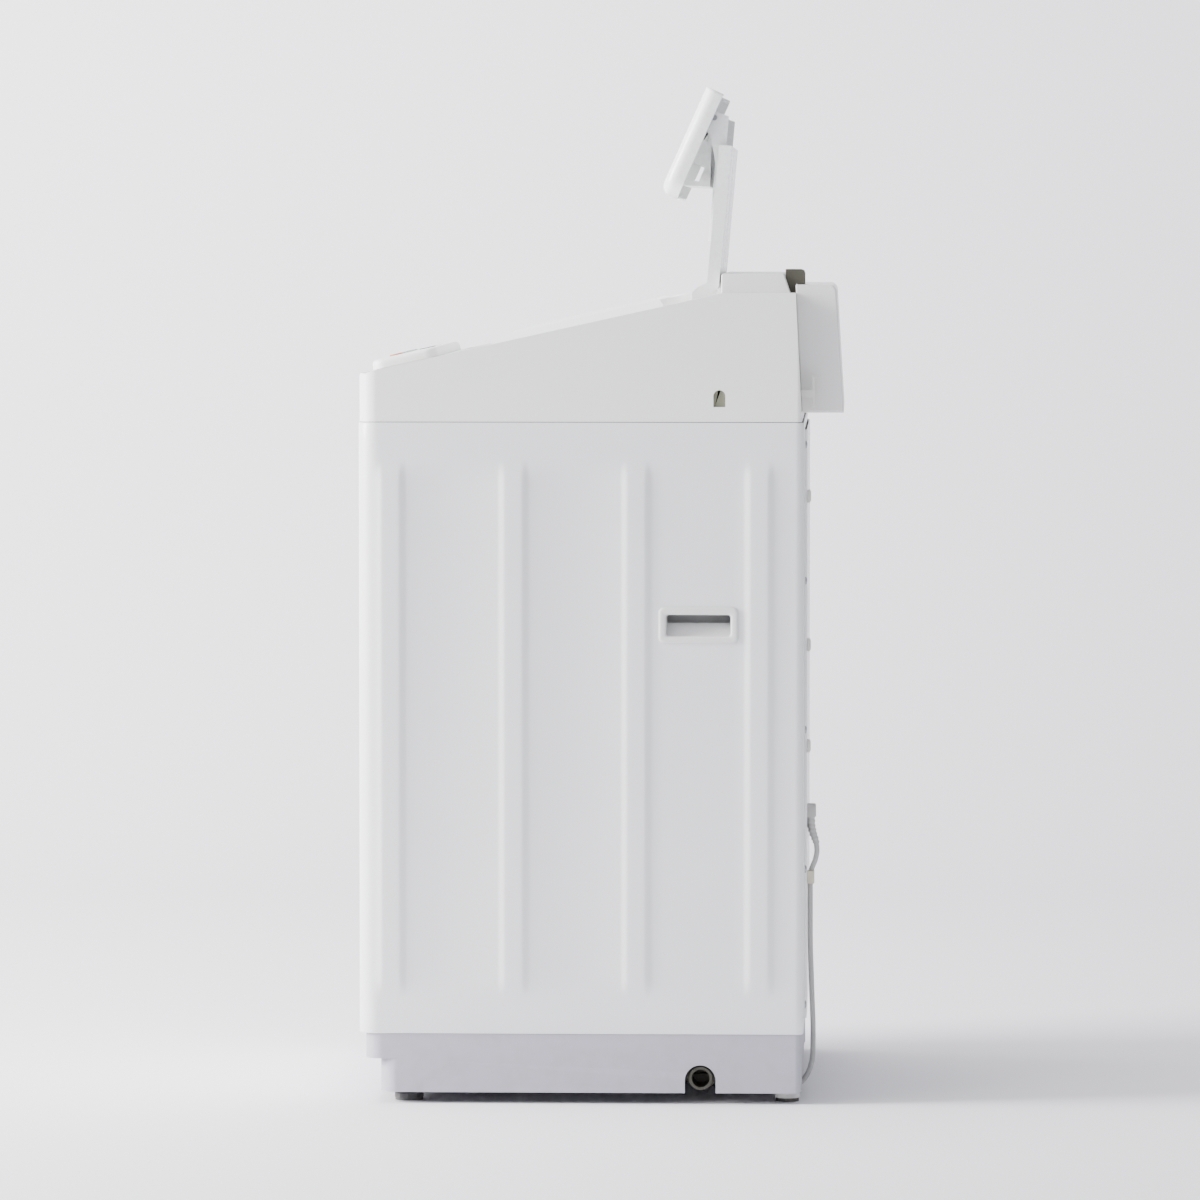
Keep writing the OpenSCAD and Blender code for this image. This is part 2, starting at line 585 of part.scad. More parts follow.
// ---- Lid ----
// Rear panel's own frame: pivot at the origin, -Y towards the front when closed, +Z outwards
module rear_frame() { seat() translate([0, pivot_y, pivot_z]) rotate([rear_open_a, 0, 0]) children(); }
module front_frame() { seat() translate([0, fold_y, fold_z]) rotate([front_open_a, 0, 0]) children(); }
strip_dn = 6;
arm_x0 = lid_x - 18;
arm_x1 = lid_x - 9;
boss_r = 6.2;
arm_top = front_skin - fold_t - skin_t - 3.3;
module lid_rear_panel() {
    color("white") rear_frame() difference() {
        union() {
            difference() {
                side_prism([[-joint_s, -strip_dn], [-joint_s, skin_up], [0, skin_up], [0, -strip_dn]], -lid_x, lid_x);
                block([-lid_x + wall, -joint_s + wall, -strip_dn - 1], [lid_x - wall, 8, skin_up - skin_t]);
            }
            both_sides() difference() {
                x_rod(skin_up, lid_x - wall, lid_x);
                block([0, -20, -20], [lid_x + 5, 0, 20]);
            }
            // rounded rear edge of the skin, clear of the hinge ears
            difference() {
                x_rod(skin_up, -ear_x0 + 1, ear_x0 - 1);
                x_rod(skin_up - skin_t, -ear_x0, ear_x0);
                block([-lid_x, -20, -20], [lid_x, 0, 20]);
                block([-lid_x, -20, -20], [lid_x, 20, 0]);
            }
            both_sides() x_rod(boss_r, ear_x1 + 1, lid_x - wall + 1);
            // arms that carry the fold pins
            both_sides() difference() {
                union() {
                    translate([0, -fold_s, -fold_t]) x_rod(7, arm_x0, arm_x1);
                    side_prism([[-joint_s + 30, skin_up - skin_t], [-joint_s + 30, -strip_dn],
                        [-fold_s + 2, -fold_t - 6.5], [-fold_s - 6.5, -fold_t + 2], [-fold_s - 3, arm_top],
                        [-joint_s - 2, arm_top], [-joint_s + 2, skin_up - skin_t]], arm_x0, arm_x1);
                }
                translate([0, -fold_s, -fold_t]) x_rod(pin_r, arm_x0 - 1, arm_x1 + 1);
            }
        }
        both_sides() x_rod(pin_r + run_gap, lid_x - 30, lid_x - 0.3);
        // room for the hinge ears
        both_sides() block([ear_x0 - 0.8, -27, -20], [ear_x1 + 0.8, 10, ear_r + 0.5]);
        both_sides() block([ear_x0 - 0.8, -3, -20], [ear_x1 + 0.8, 10, 20]);
    }
}
// The liner drops into the loading opening when the lid is closed
liner_back = -(pivot_y - mouth_y1 + 7);
module lid_rear_liner() {
    color("white") rear_frame() translate([0, 0, -9.5]) difference() {
        block([-tray_x, -joint_s + wall + 1, 0], [tray_x, liner_back, 9.5 + skin_up - skin_t]);
        block([-tray_x + 2, -joint_s + wall + 3, 2], [tray_x - 2, liner_back - 2, 20]);
    }
}
shoulder = 12;
skirt_low = 1;
panel_back = 27;
// Front panel's outline in plan, with bowed front corners
module front_plan(m) {
    translate([-lid_x + m, -tip_s + 24]) square([2 * (lid_x - m), tip_s - 24 + panel_back - m]);
    translate([-lid_x + 24, -tip_s + m]) square([2 * (lid_x - 24), 26]);
    for (s = [-1, 1]) translate([s * (lid_x - 24), -tip_s + 24]) circle(r=24 - m);
}
module front_slab(m, z0) {
    intersection() {
        translate([0, 0, z0]) linear_extrude(front_skin - m - z0) front_plan(m);
        translate([0, panel_back + 1, 0]) rotate([90, 0, 0]) linear_extrude(tip_s + panel_back + 2)
            polygon([[-lid_x + m, z0], [-lid_x + m, front_skin - shoulder], [-lid_x + m + 3.5, front_skin - 4 - m],
                [-lid_x + shoulder, front_skin - m], [lid_x - shoulder, front_skin - m],
                [lid_x - m - 3.5, front_skin - 4 - m], [lid_x - m, front_skin - shoulder], [lid_x - m, z0]]);
        side_prism([[-tip_s + m, z0], [-tip_s + m, front_skin - shoulder], [-tip_s + m + 3.5, front_skin - 4 - m],
            [-tip_s + shoulder, front_skin - m], [panel_back - m, front_skin - m], [panel_back - m, z0]],
            -lid_x, lid_x);
    }
}
module lid_front_panel() {
    color("white") front_frame() difference() {
        union() {
            difference() {
                front_slab(0, skirt_low);
                front_slab(skin_t, skirt_low - 1);
            }
            // ears with the fold pin bores
            both_sides() side_prism([[-9, front_skin - skin_t + 0.5], [-7, -2], [-5, -6], [0, -7.5], [5, -6],
                [7, -2], [9, front_skin - skin_t + 0.5]], arm_x0 - 10, arm_x0 - 1);
        }
        // notches that straddle the opening's rims and the fold pin's arms when the lid is closed
        block([-mouth_x - rim_w - move_gap, panel_back - skin_t - 1, -1],
            [mouth_x + rim_w + move_gap, panel_back + 1, skirt_low + rim_h + move_gap]);
        both_sides() block([arm_x0 - 0.8, panel_back - skin_t - 1, -1],
            [arm_x1 + 0.8, panel_back + 1, front_skin - skin_t - 2]);
        both_sides() x_rod(pin_r + run_gap, arm_x0 - 12, arm_x0 + 3);
    }
}
tray_x = mouth_x - 8;
module lid_front_tray() {
    color("white") front_frame() difference() {
        side_prism([[-12, front_skin - skin_t], [-12, -2], [-70, -25.5], [-80, 1], [-82, front_skin - skin_t]],
            -tray_x, tray_x);
        side_prism([[-14, front_skin], [-14, -0.2], [-69, -22.8], [-77.6, 1], [-79.6, front_skin]],
            -tray_x + 2, tray_x - 2);
        // openings in the tray's side walls
        both_sides() side_prism([[-15.5, 7], [-17.5, 0], [-25, -3.5], [-27, 10]], tray_x - 3, tray_x + 1);
        both_sides() side_prism([[-54, 11], [-53, -11.5], [-69, -12], [-75.5, 3], [-76.5, 11]],
            tray_x - 3, tray_x + 1);
    }
}
module lid_fold_pins() {
    color("silver") seat() both_sides() translate([0, fold_y, fold_z]) x_rod(pin_r, arm_x0 - 11, arm_x1 + 1);
}
module lid_bumpers() {
    color("white") front_frame() both_sides() translate([0, bumper_y, -17]) x_rod(4, tray_x, tray_x + 3);
}
// ---- Wash unit ----
rod_x = hx - rod_in;
rod_y = hy - rod_in + 3;
lug_z = tub_z0 + 56;
lug_in = tub_r - 7;
spring_h = 50;
module tub() {
    color("white") seat() difference() {
        union() {
            tube_z(tub_r, tub_r - 2.5, tub_z0, tub_z1);
            translate([0, 0, tub_z0]) cylinder(r=tub_r - 1, h=4);
            translate([0, 0, tub_z0 - 8]) cylinder(r=40, h=10);
            for (sx = [-1, 1], sy = [-1, 1]) {
                translate([sx * rod_x, sy * rod_y, lug_z]) cylinder(r=12, h=8);
                translate([0, 0, lug_z]) linear_extrude(8) polygon([
                    [sx * (rod_x + 2), sy * (rod_y - 10)], [sx * (rod_x - 10), sy * (rod_y + 2)],
                    [sx * lug_in * cos(49.2), sy * lug_in * sin(49.2)],
                    [sx * lug_in * cos(41.5), sy * lug_in * sin(41.5)]]);
            }
        }
        translate([0, 0, tub_z0 + 4]) cylinder(r=tub_r - 2.5, h=tub_z1);
        translate([0, 0, tub_z0 - 9]) cylinder(r=spin_r + run_gap, h=20);
        for (sx = [-1, 1], sy = [-1, 1]) translate([sx * rod_x, sy * rod_y, lug_z - 1])
            cylinder(r=rod_r + run_gap, h=12);
        translate([110, 112, tub_z0 - 1]) cylinder(r=11, h=8);
    }
}
module tub_cover() {
    color("white") seat() difference() {
        translate([0, 0, tub_z1]) cylinder(r=tub_r, h=10);
        translate([0, 0, tub_z1 - 1]) cylinder(r=ring_in_r + 7, h=9);
        translate([0, 0, tub_z1 + 6]) cylinder(r=ring_in_r + 3, h=9);
        translate([0, 0, tub_z1 - 1]) cylinder(r=tub_r - 6, h=7);
    }
}
basket_z0 = tub_z0 + 24;
basket_z1 = tub_z1 - 38;
module basket() {
    color("silver") seat() difference() {
        union() {
            tube_z(basket_r, basket_r - 1, basket_z0, basket_z1);
            tube_z(basket_r, basket_r - 9, basket_z1 - 1, basket_z1);
        }
    }
}
module basket_base() {
    color("lightgray") seat() difference() {
        union() {
            translate([0, 0, basket_z0]) cylinder(r=basket_r - 1 - e, h=4);
            translate([0, 0, basket_z0]) cylinder(r=46, h=14);
            tube_z(basket_r - 1 - e, basket_r - 5, basket_z0, basket_z0 + 16);
        }
        translate([0, 0, basket_z0 - 1]) cylinder(r=spin_r, h=30);
    }
}
module balance_ring() {
    color("white") seat() translate([0, 0, basket_z1]) rotate_extrude($fn=96) difference() {
        polygon([[ring_in_r, 0], [ring_in_r - 1, 4], [ring_in_r, 26], [ring_in_r + 4, 32],
            [basket_r - 4, 32], [basket_r, 28], [basket_r, 0]]);
        translate([ring_in_r + 4, 4]) square([basket_r - ring_in_r - 8, 22]);
    }
}
filter_half = 32;
filter_x = sqrt(pow(basket_r - 1, 2) - pow(filter_half, 2)) - 3 * fit_gap;
module lint_filter() {
    color("azure") seat() {
        difference() {
            block([filter_x - 12, -filter_half, basket_z0 + 130], [filter_x, filter_half, basket_z0 + 260]);
            block([filter_x - 13, -filter_half + 5, basket_z0 + 138],
                [filter_x - 2, filter_half - 5, basket_z0 + 252]);
        }
        for (y = [-16, 0, 16]) block([filter_x - 11, y - 1, basket_z0 + 137],
            [filter_x - 9, y + 1, basket_z0 + 253]);
    }
}
pulsator_z0 = basket_z0 + 17;
module pulsator() {
    color("lightblue") seat() difference() {
        union() {
            translate([0, 0, pulsator_z0]) rotate_extrude($fn=96) polygon([[0, 0], [pulsator_r, 0],
                [pulsator_r, 5], [pulsator_r - 12, 9], [70, 14], [38, 30], [24, 38], [0, 40]]);
            for (a = [0:90:270]) rotate([0, 0, a]) translate([0, 0, pulsator_z0 + 4])
                rotate([90, 0, 0]) translate([0, 0, -6]) linear_extrude(12)
                    polygon([[20, 0], [pulsator_r - 12, 0], [pulsator_r - 14, 12], [90, 26], [30, 36], [20, 34]]);
        }
        translate([0, 0, pulsator_z0 - 1]) cylinder(r=shaft_r, h=24);
        translate([0, 0, pulsator_z0 + 22]) cylinder(r=4, h=40);
    }
}
module pulsator_screw() {
    color("silver") seat() translate([0, 0, pulsator_z0 + 40]) difference() {
        union() {
            cylinder(r=8, h=4);
            translate([0, 0, -17]) cylinder(r=4, h=18);
        }
        translate([0, 0, 2]) cylinder(r=4, h=5, $fn=6);
    }
}
pulley_z = tub_z0 - 150;
module wash_shaft() {
    color("silver") seat() translate([0, 0, pulley_z - 8]) cylinder(r=shaft_r, h=pulsator_z0 + 22 - pulley_z + 8);
}
module spin_shaft() {
    color("silver") seat() difference() {
        translate([0, 0, tub_z0 - 24]) cylinder(r=spin_r, h=basket_z0 + 13 - tub_z0 + 24);
        translate([0, 0, tub_z0 - 25]) cylinder(r=shaft_r + run_gap, h=80);
    }
}
frame_z = tub_z0 - 12;
module drive_frame() {
    color("slategray") seat() difference() {
        union() {
            block([-150, -90, frame_z - 3], [150, 90, frame_z]);
            for (x = [-130, 130], y = [-75, 75]) translate([x, y, frame_z - 1]) cylinder(r=8, h=13);
        }
        translate([0, 0, frame_z - 5]) cylinder(r=spin_r + 6, h=10);
    }
}
module clutch_housing() {
    color("gray") seat() difference() {
        union() {
            translate([0, 0, frame_z - 93]) cylinder(r=52, h=90);
            translate([0, 0, frame_z - 108]) cylinder(r=24, h=16);
        }
        translate([0, 0, frame_z - 110]) cylinder(r=shaft_r + run_gap, h=120);
        translate([0, 0, tub_z0 - 25]) cylinder(r=spin_r + run_gap, h=40);
    }
}
motor_c = [-112, 40];
module motor() {
    color("dimgray") seat() translate([motor_c[0], motor_c[1], 0]) difference() {
        translate([0, 0, frame_z - 98]) cylinder(r=52, h=95);
        translate([0, 0, frame_z - 99]) cylinder(r=6 + run_gap, h=40);
    }
}
module motor_pulley() {
    color("silver") seat() translate([motor_c[0], motor_c[1], 0]) {
        translate([0, 0, pulley_z - 2]) cylinder(r=motor_r, h=14);
        translate([0, 0, pulley_z - 4]) cylinder(r=motor_r + 4, h=2);
        translate([0, 0, pulley_z + 12]) cylinder(r=6, h=50);
    }
}
module drive_pulley() {
    color("silver") seat() difference() {
        union() {
            tube_z(drive_r, drive_r - 8, pulley_z, pulley_z + 10);
            tube_z(drive_r + 3, drive_r - 8, pulley_z - 2, pulley_z);
            translate([0, 0, pulley_z - 2]) cylinder(r=20, h=14);
            for (a = [0, 60, 120]) rotate([0, 0, a]) block([-drive_r + 6, -8, pulley_z], [drive_r - 6, 8, pulley_z + 6]);
        }
        translate([0, 0, pulley_z - 10]) cylinder(r=shaft_r, h=40);
    }
}
// Belt line round both pulleys, a given distance outside them
module belt_loop(grow) {
    d = norm(motor_c);
    b = asin((drive_r - motor_r) / d);
    rotate([0, 0, atan2(motor_c[1], motor_c[0])]) polygon(concat(
        [for (k = [0:48]) let (t = 90 - b + (180 + 2 * b) * k / 48) (drive_r + grow) * [cos(t), sin(t)]],
        [for (k = [0:16]) let (t = b - 90 + (180 - 2 * b) * k / 16) [d, 0] + (motor_r + grow) * [cos(t), sin(t)]]));
}
module drive_belt() {
    color("black") seat() translate([0, 0, pulley_z + 1]) linear_extrude(8) difference() {
        belt_loop(4.4);
        belt_loop(0.4);
    }
}
module run_capacitor() {
    color("gainsboro") seat() {
        translate([100, 66, frame_z - 50]) cylinder(r=19, h=47);
    }
}
module drain_valve() {
    color("white") seat() {
        block([110 - 20, 90 + 4, tub_z0 - 50], [110 + 45, 90 + 40, tub_z0 - 14]);
        tube_at([110, 112], 14, tub_z0 - 15, tub_z0);
    }
}
module tube_at(p, r, z0, z1) { translate([p[0], p[1], z0]) cylinder(r=r, h=z1 - z0); }
outlet_r = 12.5;
outlet_z = base_lift + notch_up;
module drain_outlet() {
    color("dimgray") seat() difference() {
        union() {
            translate([0, notch_y, outlet_z]) x_rod(outlet_r, hx - 66, hx - 22);
            translate([hx - 66, notch_y, outlet_z]) sphere(r=outlet_r);
            translate([hx - 66, notch_y, outlet_z]) cylinder(r=outlet_r, h=60);
            translate([0, notch_y, outlet_z]) x_rod(outlet_r + 3, hx - 53, hx - 50);
        }
        translate([0, notch_y, outlet_z]) x_rod(outlet_r - 3, hx - 66, hx - 20);
        translate([hx - 66, notch_y, outlet_z]) cylinder(r=outlet_r - 3, h=61);
    }
}
module at_rods() {
    for (sx = [-1, 1], sy = [-1, 1]) translate([sx * rod_x, sy * rod_y, 0]) children();
}
hanger_z = cab_z1 - 26;
module suspension_rods() {
    color("silver") seat() at_rods() {
        tube_at([0, 0], rod_r, lug_z - spring_h - 8, hanger_z + 8);
        tube_at([0, 0], 11, lug_z - spring_h - 6, lug_z - spring_h);
        tube_at([0, 0], 8, hanger_z + 4, hanger_z + 10);
    }
}
module rod_hangers() {
    color("gray") seat() for (sx = [-1, 1], sy = [-1, 1]) difference() {
        translate([0, 0, hanger_z]) linear_extrude(4) polygon([
            [sx * (hx - sheet_t), sy * (hy - 24)], [sx * (hx - sheet_t), sy * (hy - 90)],
            [sx * (rod_x - 12), sy * (rod_y - 6)], [sx * (rod_x - 12), sy * (rod_y + 14)],
            [sx * (hx - 24), sy * (hy - sheet_t - 1)]]);
        translate([sx * rod_x, sy * rod_y, hanger_z - 1]) cylinder(r=rod_r + run_gap, h=6);
    }
}
spring_turns = 6;
spring_n = 12;
module suspension_springs() {
    color("dimgray") seat() at_rods() {
        sweep([for (i = [0:spring_turns * spring_n]) [8.5 * cos(360 * i / spring_n),
            8.5 * sin(360 * i / spring_n),
            lug_z - spring_h + 1.8 + (spring_h - 3.6) * i / (spring_turns * spring_n)]], 1.6, 6, [0, 0, 1]);
    }
}
// ---- Power cord ----
// The gland's block sits in a slot of the back panel, and its sleeve tapers along the cord
slot_r = 6.5;
// Depth of the gland block in front of the cord
gland_in = 12.3;
module cord_gland() {
    p = cord_path[0];
    lean = atan2(cord_path[1][1] - p[1], p[2] - cord_path[1][2]);
    color("gray") {
        block([p[0] - 6, p[1] - gland_in, p[2] - 0.5], [p[0] + 6, p[1] + 5.5, p[2] + 14]);
        translate([p[0], p[1], p[2] + 2]) rotate([180 + lean, 0, 0]) cylinder(r1=5, r2=3.6, h=26);
    }
}
module power_cord() {
    color("lightgray") sweep(smooth(cord_path, 2), cord_r, 8, [1, -1, 0.5]);
}
module cord_clamp() {
    color("ivory") {
        p = cord_path[7];
        block([p[0] - 6, p[1] - cord_r - fit_gap, p[2] - 7], [p[0] + 6, p[1] + cord_r + 1.5, p[2] + 7]);
    }
}
module power_cord_coil() {
    color("lightgray") translate([coil_c[0], coil_c[1], 0.2]) rotate_extrude($fn=64)
        translate([coil_mid_r - coil_turn_r, 0]) square([2 * coil_turn_r, coil_h]);
}
plug_at = [coil_c[0] - coil_mid_r - 6, -40, 0.2];
plug_neck_z = 8.6;
module power_plug() {
    color("lightgray") translate(plug_at) {
        linear_extrude(15) soft_rect([-12, -26], [12, 0], 4);
        translate([0, 0, plug_neck_z]) rotate([-90, 0, 0]) rotate_extrude()
            polygon([[0, -1], [5, -1], [5, 3], [3.2, 24], [0, 24]]);
        for (x = [-6.35, 6.35]) block([x - 0.75, -43, 4.5], [x + 0.75, -25, 10.5]);
    }
}

cabinet();
base();
top_cover();
control_fascia();
display_window();
control_board();
power_on_button();
power_off_button();
start_button();
course_button();
water_level_button();
timer_button();
lid_rear_panel();
lid_rear_liner();
lid_front_panel();
lid_front_tray();
lid_hinge_pins();
lid_fold_pins();
lid_bumpers();
rear_cover();
rear_box();
inlet_port();
inlet_valve();
fill_spout();
tub();
tub_cover();
basket();
basket_base();
balance_ring();
lint_filter();
pulsator();
pulsator_screw();
wash_shaft();
spin_shaft();
clutch_housing();
drive_frame();
motor();
motor_pulley();
drive_pulley();
drive_belt();
run_capacitor();
drain_valve();
drain_outlet();
suspension_rods();
rod_hangers();
suspension_springs();
handle_cups();
back_panel();
cable_clips();
hose_hooks();
rear_feet();
rear_foot_pads();
levelling_foot_left();
levelling_foot_right();
cord_clamp();
cord_gland();
power_cord();
power_cord_coil();
power_plug();
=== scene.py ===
"""Looks of the top load washing machine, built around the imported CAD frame.

Plans and profiles are drawn in millimetres round the cabinet's middle, as in part.scad, and
point() moves them to the row frame in metres. The front faces -Y and the rear faces +Y.
"""

import json
import math

import bmesh
import bpy
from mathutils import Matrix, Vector


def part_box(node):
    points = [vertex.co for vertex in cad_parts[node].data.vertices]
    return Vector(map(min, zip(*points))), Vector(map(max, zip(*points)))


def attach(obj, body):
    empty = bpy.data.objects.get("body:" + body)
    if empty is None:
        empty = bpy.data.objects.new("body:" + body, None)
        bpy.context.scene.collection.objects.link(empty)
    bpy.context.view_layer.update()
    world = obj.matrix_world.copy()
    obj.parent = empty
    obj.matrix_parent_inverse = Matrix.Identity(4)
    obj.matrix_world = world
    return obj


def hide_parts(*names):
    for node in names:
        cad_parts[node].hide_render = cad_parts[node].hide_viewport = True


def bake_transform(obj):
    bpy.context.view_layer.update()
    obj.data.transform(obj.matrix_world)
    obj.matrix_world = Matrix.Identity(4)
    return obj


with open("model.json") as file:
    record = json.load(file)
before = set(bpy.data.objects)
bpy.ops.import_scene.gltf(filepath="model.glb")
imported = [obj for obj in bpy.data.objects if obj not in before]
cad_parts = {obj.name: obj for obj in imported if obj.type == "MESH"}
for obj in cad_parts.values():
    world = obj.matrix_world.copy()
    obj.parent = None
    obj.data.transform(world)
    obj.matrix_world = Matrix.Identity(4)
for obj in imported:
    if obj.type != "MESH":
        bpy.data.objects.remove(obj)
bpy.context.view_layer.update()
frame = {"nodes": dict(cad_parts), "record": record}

MM = 0.001
MID_Y = -21.0  # the cabinet's middle, in front of the origin
nodes = frame["nodes"]


# ---- Mesh helpers ----
def point(x, y, z):
    """A cabinet-centred point in millimetres, in the row frame."""
    return Vector((x, y + MID_Y, z)) * MM


def smoothstep(t):
    t = min(1.0, max(0.0, t))
    return t * t * (3 - 2 * t)


def rounded(x0, y0, x1, y1, radii, steps=6):
    """Anticlockwise outline of a rectangle. radii are those at (x0,y0), (x1,y0), (x1,y1), (x0,y1)."""
    if not hasattr(radii, "__len__"):
        radii = [radii] * 4
    middles = [(x0 + radii[0], y0 + radii[0]), (x1 - radii[1], y0 + radii[1]),
               (x1 - radii[2], y1 - radii[2]), (x0 + radii[3], y1 - radii[3])]
    outline = []
    for corner, ((cx, cy), r) in enumerate(zip(middles, radii)):
        for i in range(steps + 1):
            a = math.radians(180 + 90 * corner + 90 * i / steps)
            outline.append((cx + r * math.cos(a), cy + r * math.sin(a)))
    return outline


class Shape:
    """The points and faces of one piece."""

    def __init__(self):
        self.points = []
        self.faces = []

    def ring(self, points):
        first = len(self.points)
        self.points += [Vector(p) for p in points]
        return list(range(first, len(self.points)))

    def bridge(self, a, b, closed=True):
        count = len(a)
        for i in range(count if closed else count - 1):
            j = (i + 1) % count
            self.faces.append((a[i], a[j], b[j], b[i]))

    def cap(self, ring, turned=False):
        self.faces.append(tuple(reversed(ring)) if turned else tuple(ring))

    def loft(self, rings, ends=(True, True)):
        """Skin through point lists that have the same count. ends says which ends are capped."""
        made = [self.ring(r) for r in rings]
        for a, b in zip(made, made[1:]):
            self.bridge(a, b)
        if ends[0]:
            self.cap(made[0], turned=True)
        if ends[1]:
            self.cap(made[-1])
        return made

    def tube(self, line, radius, sides, reference=(0.31, 0.87, 0.38)):
        """Round capped tube along points, in their own unit. radius is one number or one per point."""
        rings = []
        side = None
        for i, p in enumerate(line):
            ahead = Vector(line[min(i + 1, len(line) - 1)]) - Vector(line[max(i - 1, 0)])
            ahead.normalize()
            base = side if side is not None else Vector(reference)
            side = (base - ahead * base.dot(ahead)).normalized()
            other = ahead.cross(side)
            r = radius[i] if hasattr(radius, "__len__") else radius
            rings.append([Vector(p) + r * (math.cos(a) * side + math.sin(a) * other)
                          for a in (2 * math.pi * k / sides for k in range(sides))])
        return self.loft(rings)


def shade(mesh, angle):
    """Smooth shading, with edges sharper than angle left sharp."""
    bm = bmesh.new()
    bm.from_mesh(mesh)
    for face in bm.faces:
        face.smooth = True
    limit = math.radians(angle)
    for edge in bm.edges:
        edge.smooth = not (len(edge.link_faces) == 2 and edge.calc_face_angle(0) > limit)
    bm.to_mesh(mesh)
    bm.free()


def make(name, shape, material, angle=35):
    """A mesh object from a Shape, with outward normals."""
    mesh = bpy.data.meshes.new(name)
    mesh.from_pydata([tuple(p) for p in shape.points], [], shape.faces)
    bm = bmesh.new()
    bm.from_mesh(mesh)
    bmesh.ops.remove_doubles(bm, verts=bm.verts, dist=1e-6)
    bmesh.ops.recalc_face_normals(bm, faces=bm.faces)
    bm.to_mesh(mesh)
    bm.free()
    shade(mesh, angle)
    made = bpy.data.objects.new(name, mesh)
    bpy.context.scene.collection.objects.link(made)
    mesh.materials.append(material)
    return made


def settle(made, angle=35):
    """Applies the object's modifiers to its own mesh."""
    graph = bpy.context.evaluated_depsgraph_get()
    graph.update()
    mesh = bpy.data.meshes.new_from_object(made.evaluated_get(graph))
    made.modifiers.clear()
    made.data = mesh
    shade(mesh, angle)
    return made


def cut(made, shapes, angle=35):
    """Takes the volumes of shapes out of the object."""
    cutters = []
    for i, shape in enumerate(shapes):
        cutter = make(f"{made.name}_cutter_{i}", shape, made.data.materials[0])
        modifier = made.modifiers.new("cut", "BOOLEAN")
        modifier.operation = "DIFFERENCE"
        modifier.solver = "EXACT"
        modifier.object = cutter
        cutters.append(cutter)
    settle(made, angle)
    for cutter in cutters:
        mesh = cutter.data
        bpy.data.objects.remove(cutter)
        bpy.data.meshes.remove(mesh)
    return made


def rounding(made, width, segments=3, angle=30):
    """Rounded edges by modifiers, width in millimetres."""
    modifier = made.modifiers.new("rounding", "BEVEL")
    modifier.width = width * MM
    modifier.segments = segments
    modifier.limit_method = "ANGLE"
    modifier.angle_limit = math.radians(angle)
    modifier.harden_normals = True
    modifier.use_clamp_overlap = True
    modifier.miter_outer = "MITER_ARC"
    return made


def place(made, body, stands_for=()):
    """Puts a new piece on its body and hides the CAD nodes it stands for."""
    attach(made, body)
    if stands_for:
        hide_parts(*stands_for)
    return made


# ---- Camera ----
CAMERA_AT = (7.763, 0.2734, 0.93)
CAMERA_LOOK = (-0.99933, -0.03647, -0.05183)
CAMERA_LENS, CAMERA_SENSOR = 211.15, 36.0


def add_camera():
    data = bpy.data.cameras.new("camera")
    data.lens = CAMERA_LENS
    data.sensor_width = CAMERA_SENSOR
    data.clip_end = 60.0
    camera = bpy.data.objects.new("camera", data)
    camera.location = CAMERA_AT
    camera.rotation_mode = "QUATERNION"
    camera.rotation_quaternion = Vector(CAMERA_LOOK).to_track_quat("-Z", "Y")
    bpy.context.scene.collection.objects.link(camera)
    bpy.context.scene.camera = camera


add_camera()


# ---- Materials ----
def material(name):
    made = bpy.data.materials.new(name)
    made.use_nodes = True
    tree = made.node_tree
    shader = tree.nodes["Principled BSDF"]
    return made, tree, shader


def add_noise(tree, where, scale, detail, stretch=(1, 1, 1)):
    """Noise over the object's own coordinates, which are metres in the row frame."""
    mapping = tree.nodes.new("ShaderNodeMapping")
    mapping.inputs["Scale"].default_value = stretch
    tree.links.new(where, mapping.inputs["Vector"])
    texture = tree.nodes.new("ShaderNodeTexNoise")
    texture.inputs["Scale"].default_value = scale
    texture.inputs["Detail"].default_value = detail
    tree.links.new(mapping.outputs["Vector"], texture.inputs["Vector"])
    return texture.outputs["Fac"]


def add_range(tree, value, low, high, from_low=0.3, from_high=0.7):
    node = tree.nodes.new("ShaderNodeMapRange")
    node.inputs["From Min"].default_value = from_low
    node.inputs["From Max"].default_value = from_high
    node.inputs["To Min"].default_value = low
    node.inputs["To Max"].default_value = high
    tree.links.new(value, node.inputs["Value"])
    return node.outputs["Result"]


def add_mix(tree, factor, a, b):
    """Colour mix. a and b are colours or sockets."""
    node = tree.nodes.new("ShaderNodeMix")
    node.data_type = "RGBA"
    tree.links.new(factor, node.inputs[0])
    for value, socket in ((a, node.inputs[6]), (b, node.inputs[7])):
        if isinstance(value, bpy.types.NodeSocket):
            tree.links.new(value, socket)
        else:
            socket.default_value = (*value, 1)
    return node.outputs[2]


def add_math(tree, kind, a, b):
    node = tree.nodes.new("ShaderNodeMath")
    node.operation = kind
    for value, socket in ((a, node.inputs[0]), (b, node.inputs[1])):
        if isinstance(value, bpy.types.NodeSocket):
            tree.links.new(value, socket)
        else:
            socket.default_value = value
    return node.outputs[0]


def add_bump(tree, height, distance, before=None):
    node = tree.nodes.new("ShaderNodeBump")
    node.inputs["Distance"].default_value = distance
    node.inputs["Strength"].default_value = 1.0
    tree.links.new(height, node.inputs["Height"])
    if before is not None:
        tree.links.new(before, node.inputs["Normal"])
    return node.outputs["Normal"]


def linear(rgb):
    """A display colour, 0 to 255, as linear light."""
    return tuple(c / 255 / 12.92 if c <= 10 else ((c / 255 + 0.055) / 1.055) ** 2.4 for c in rgb)


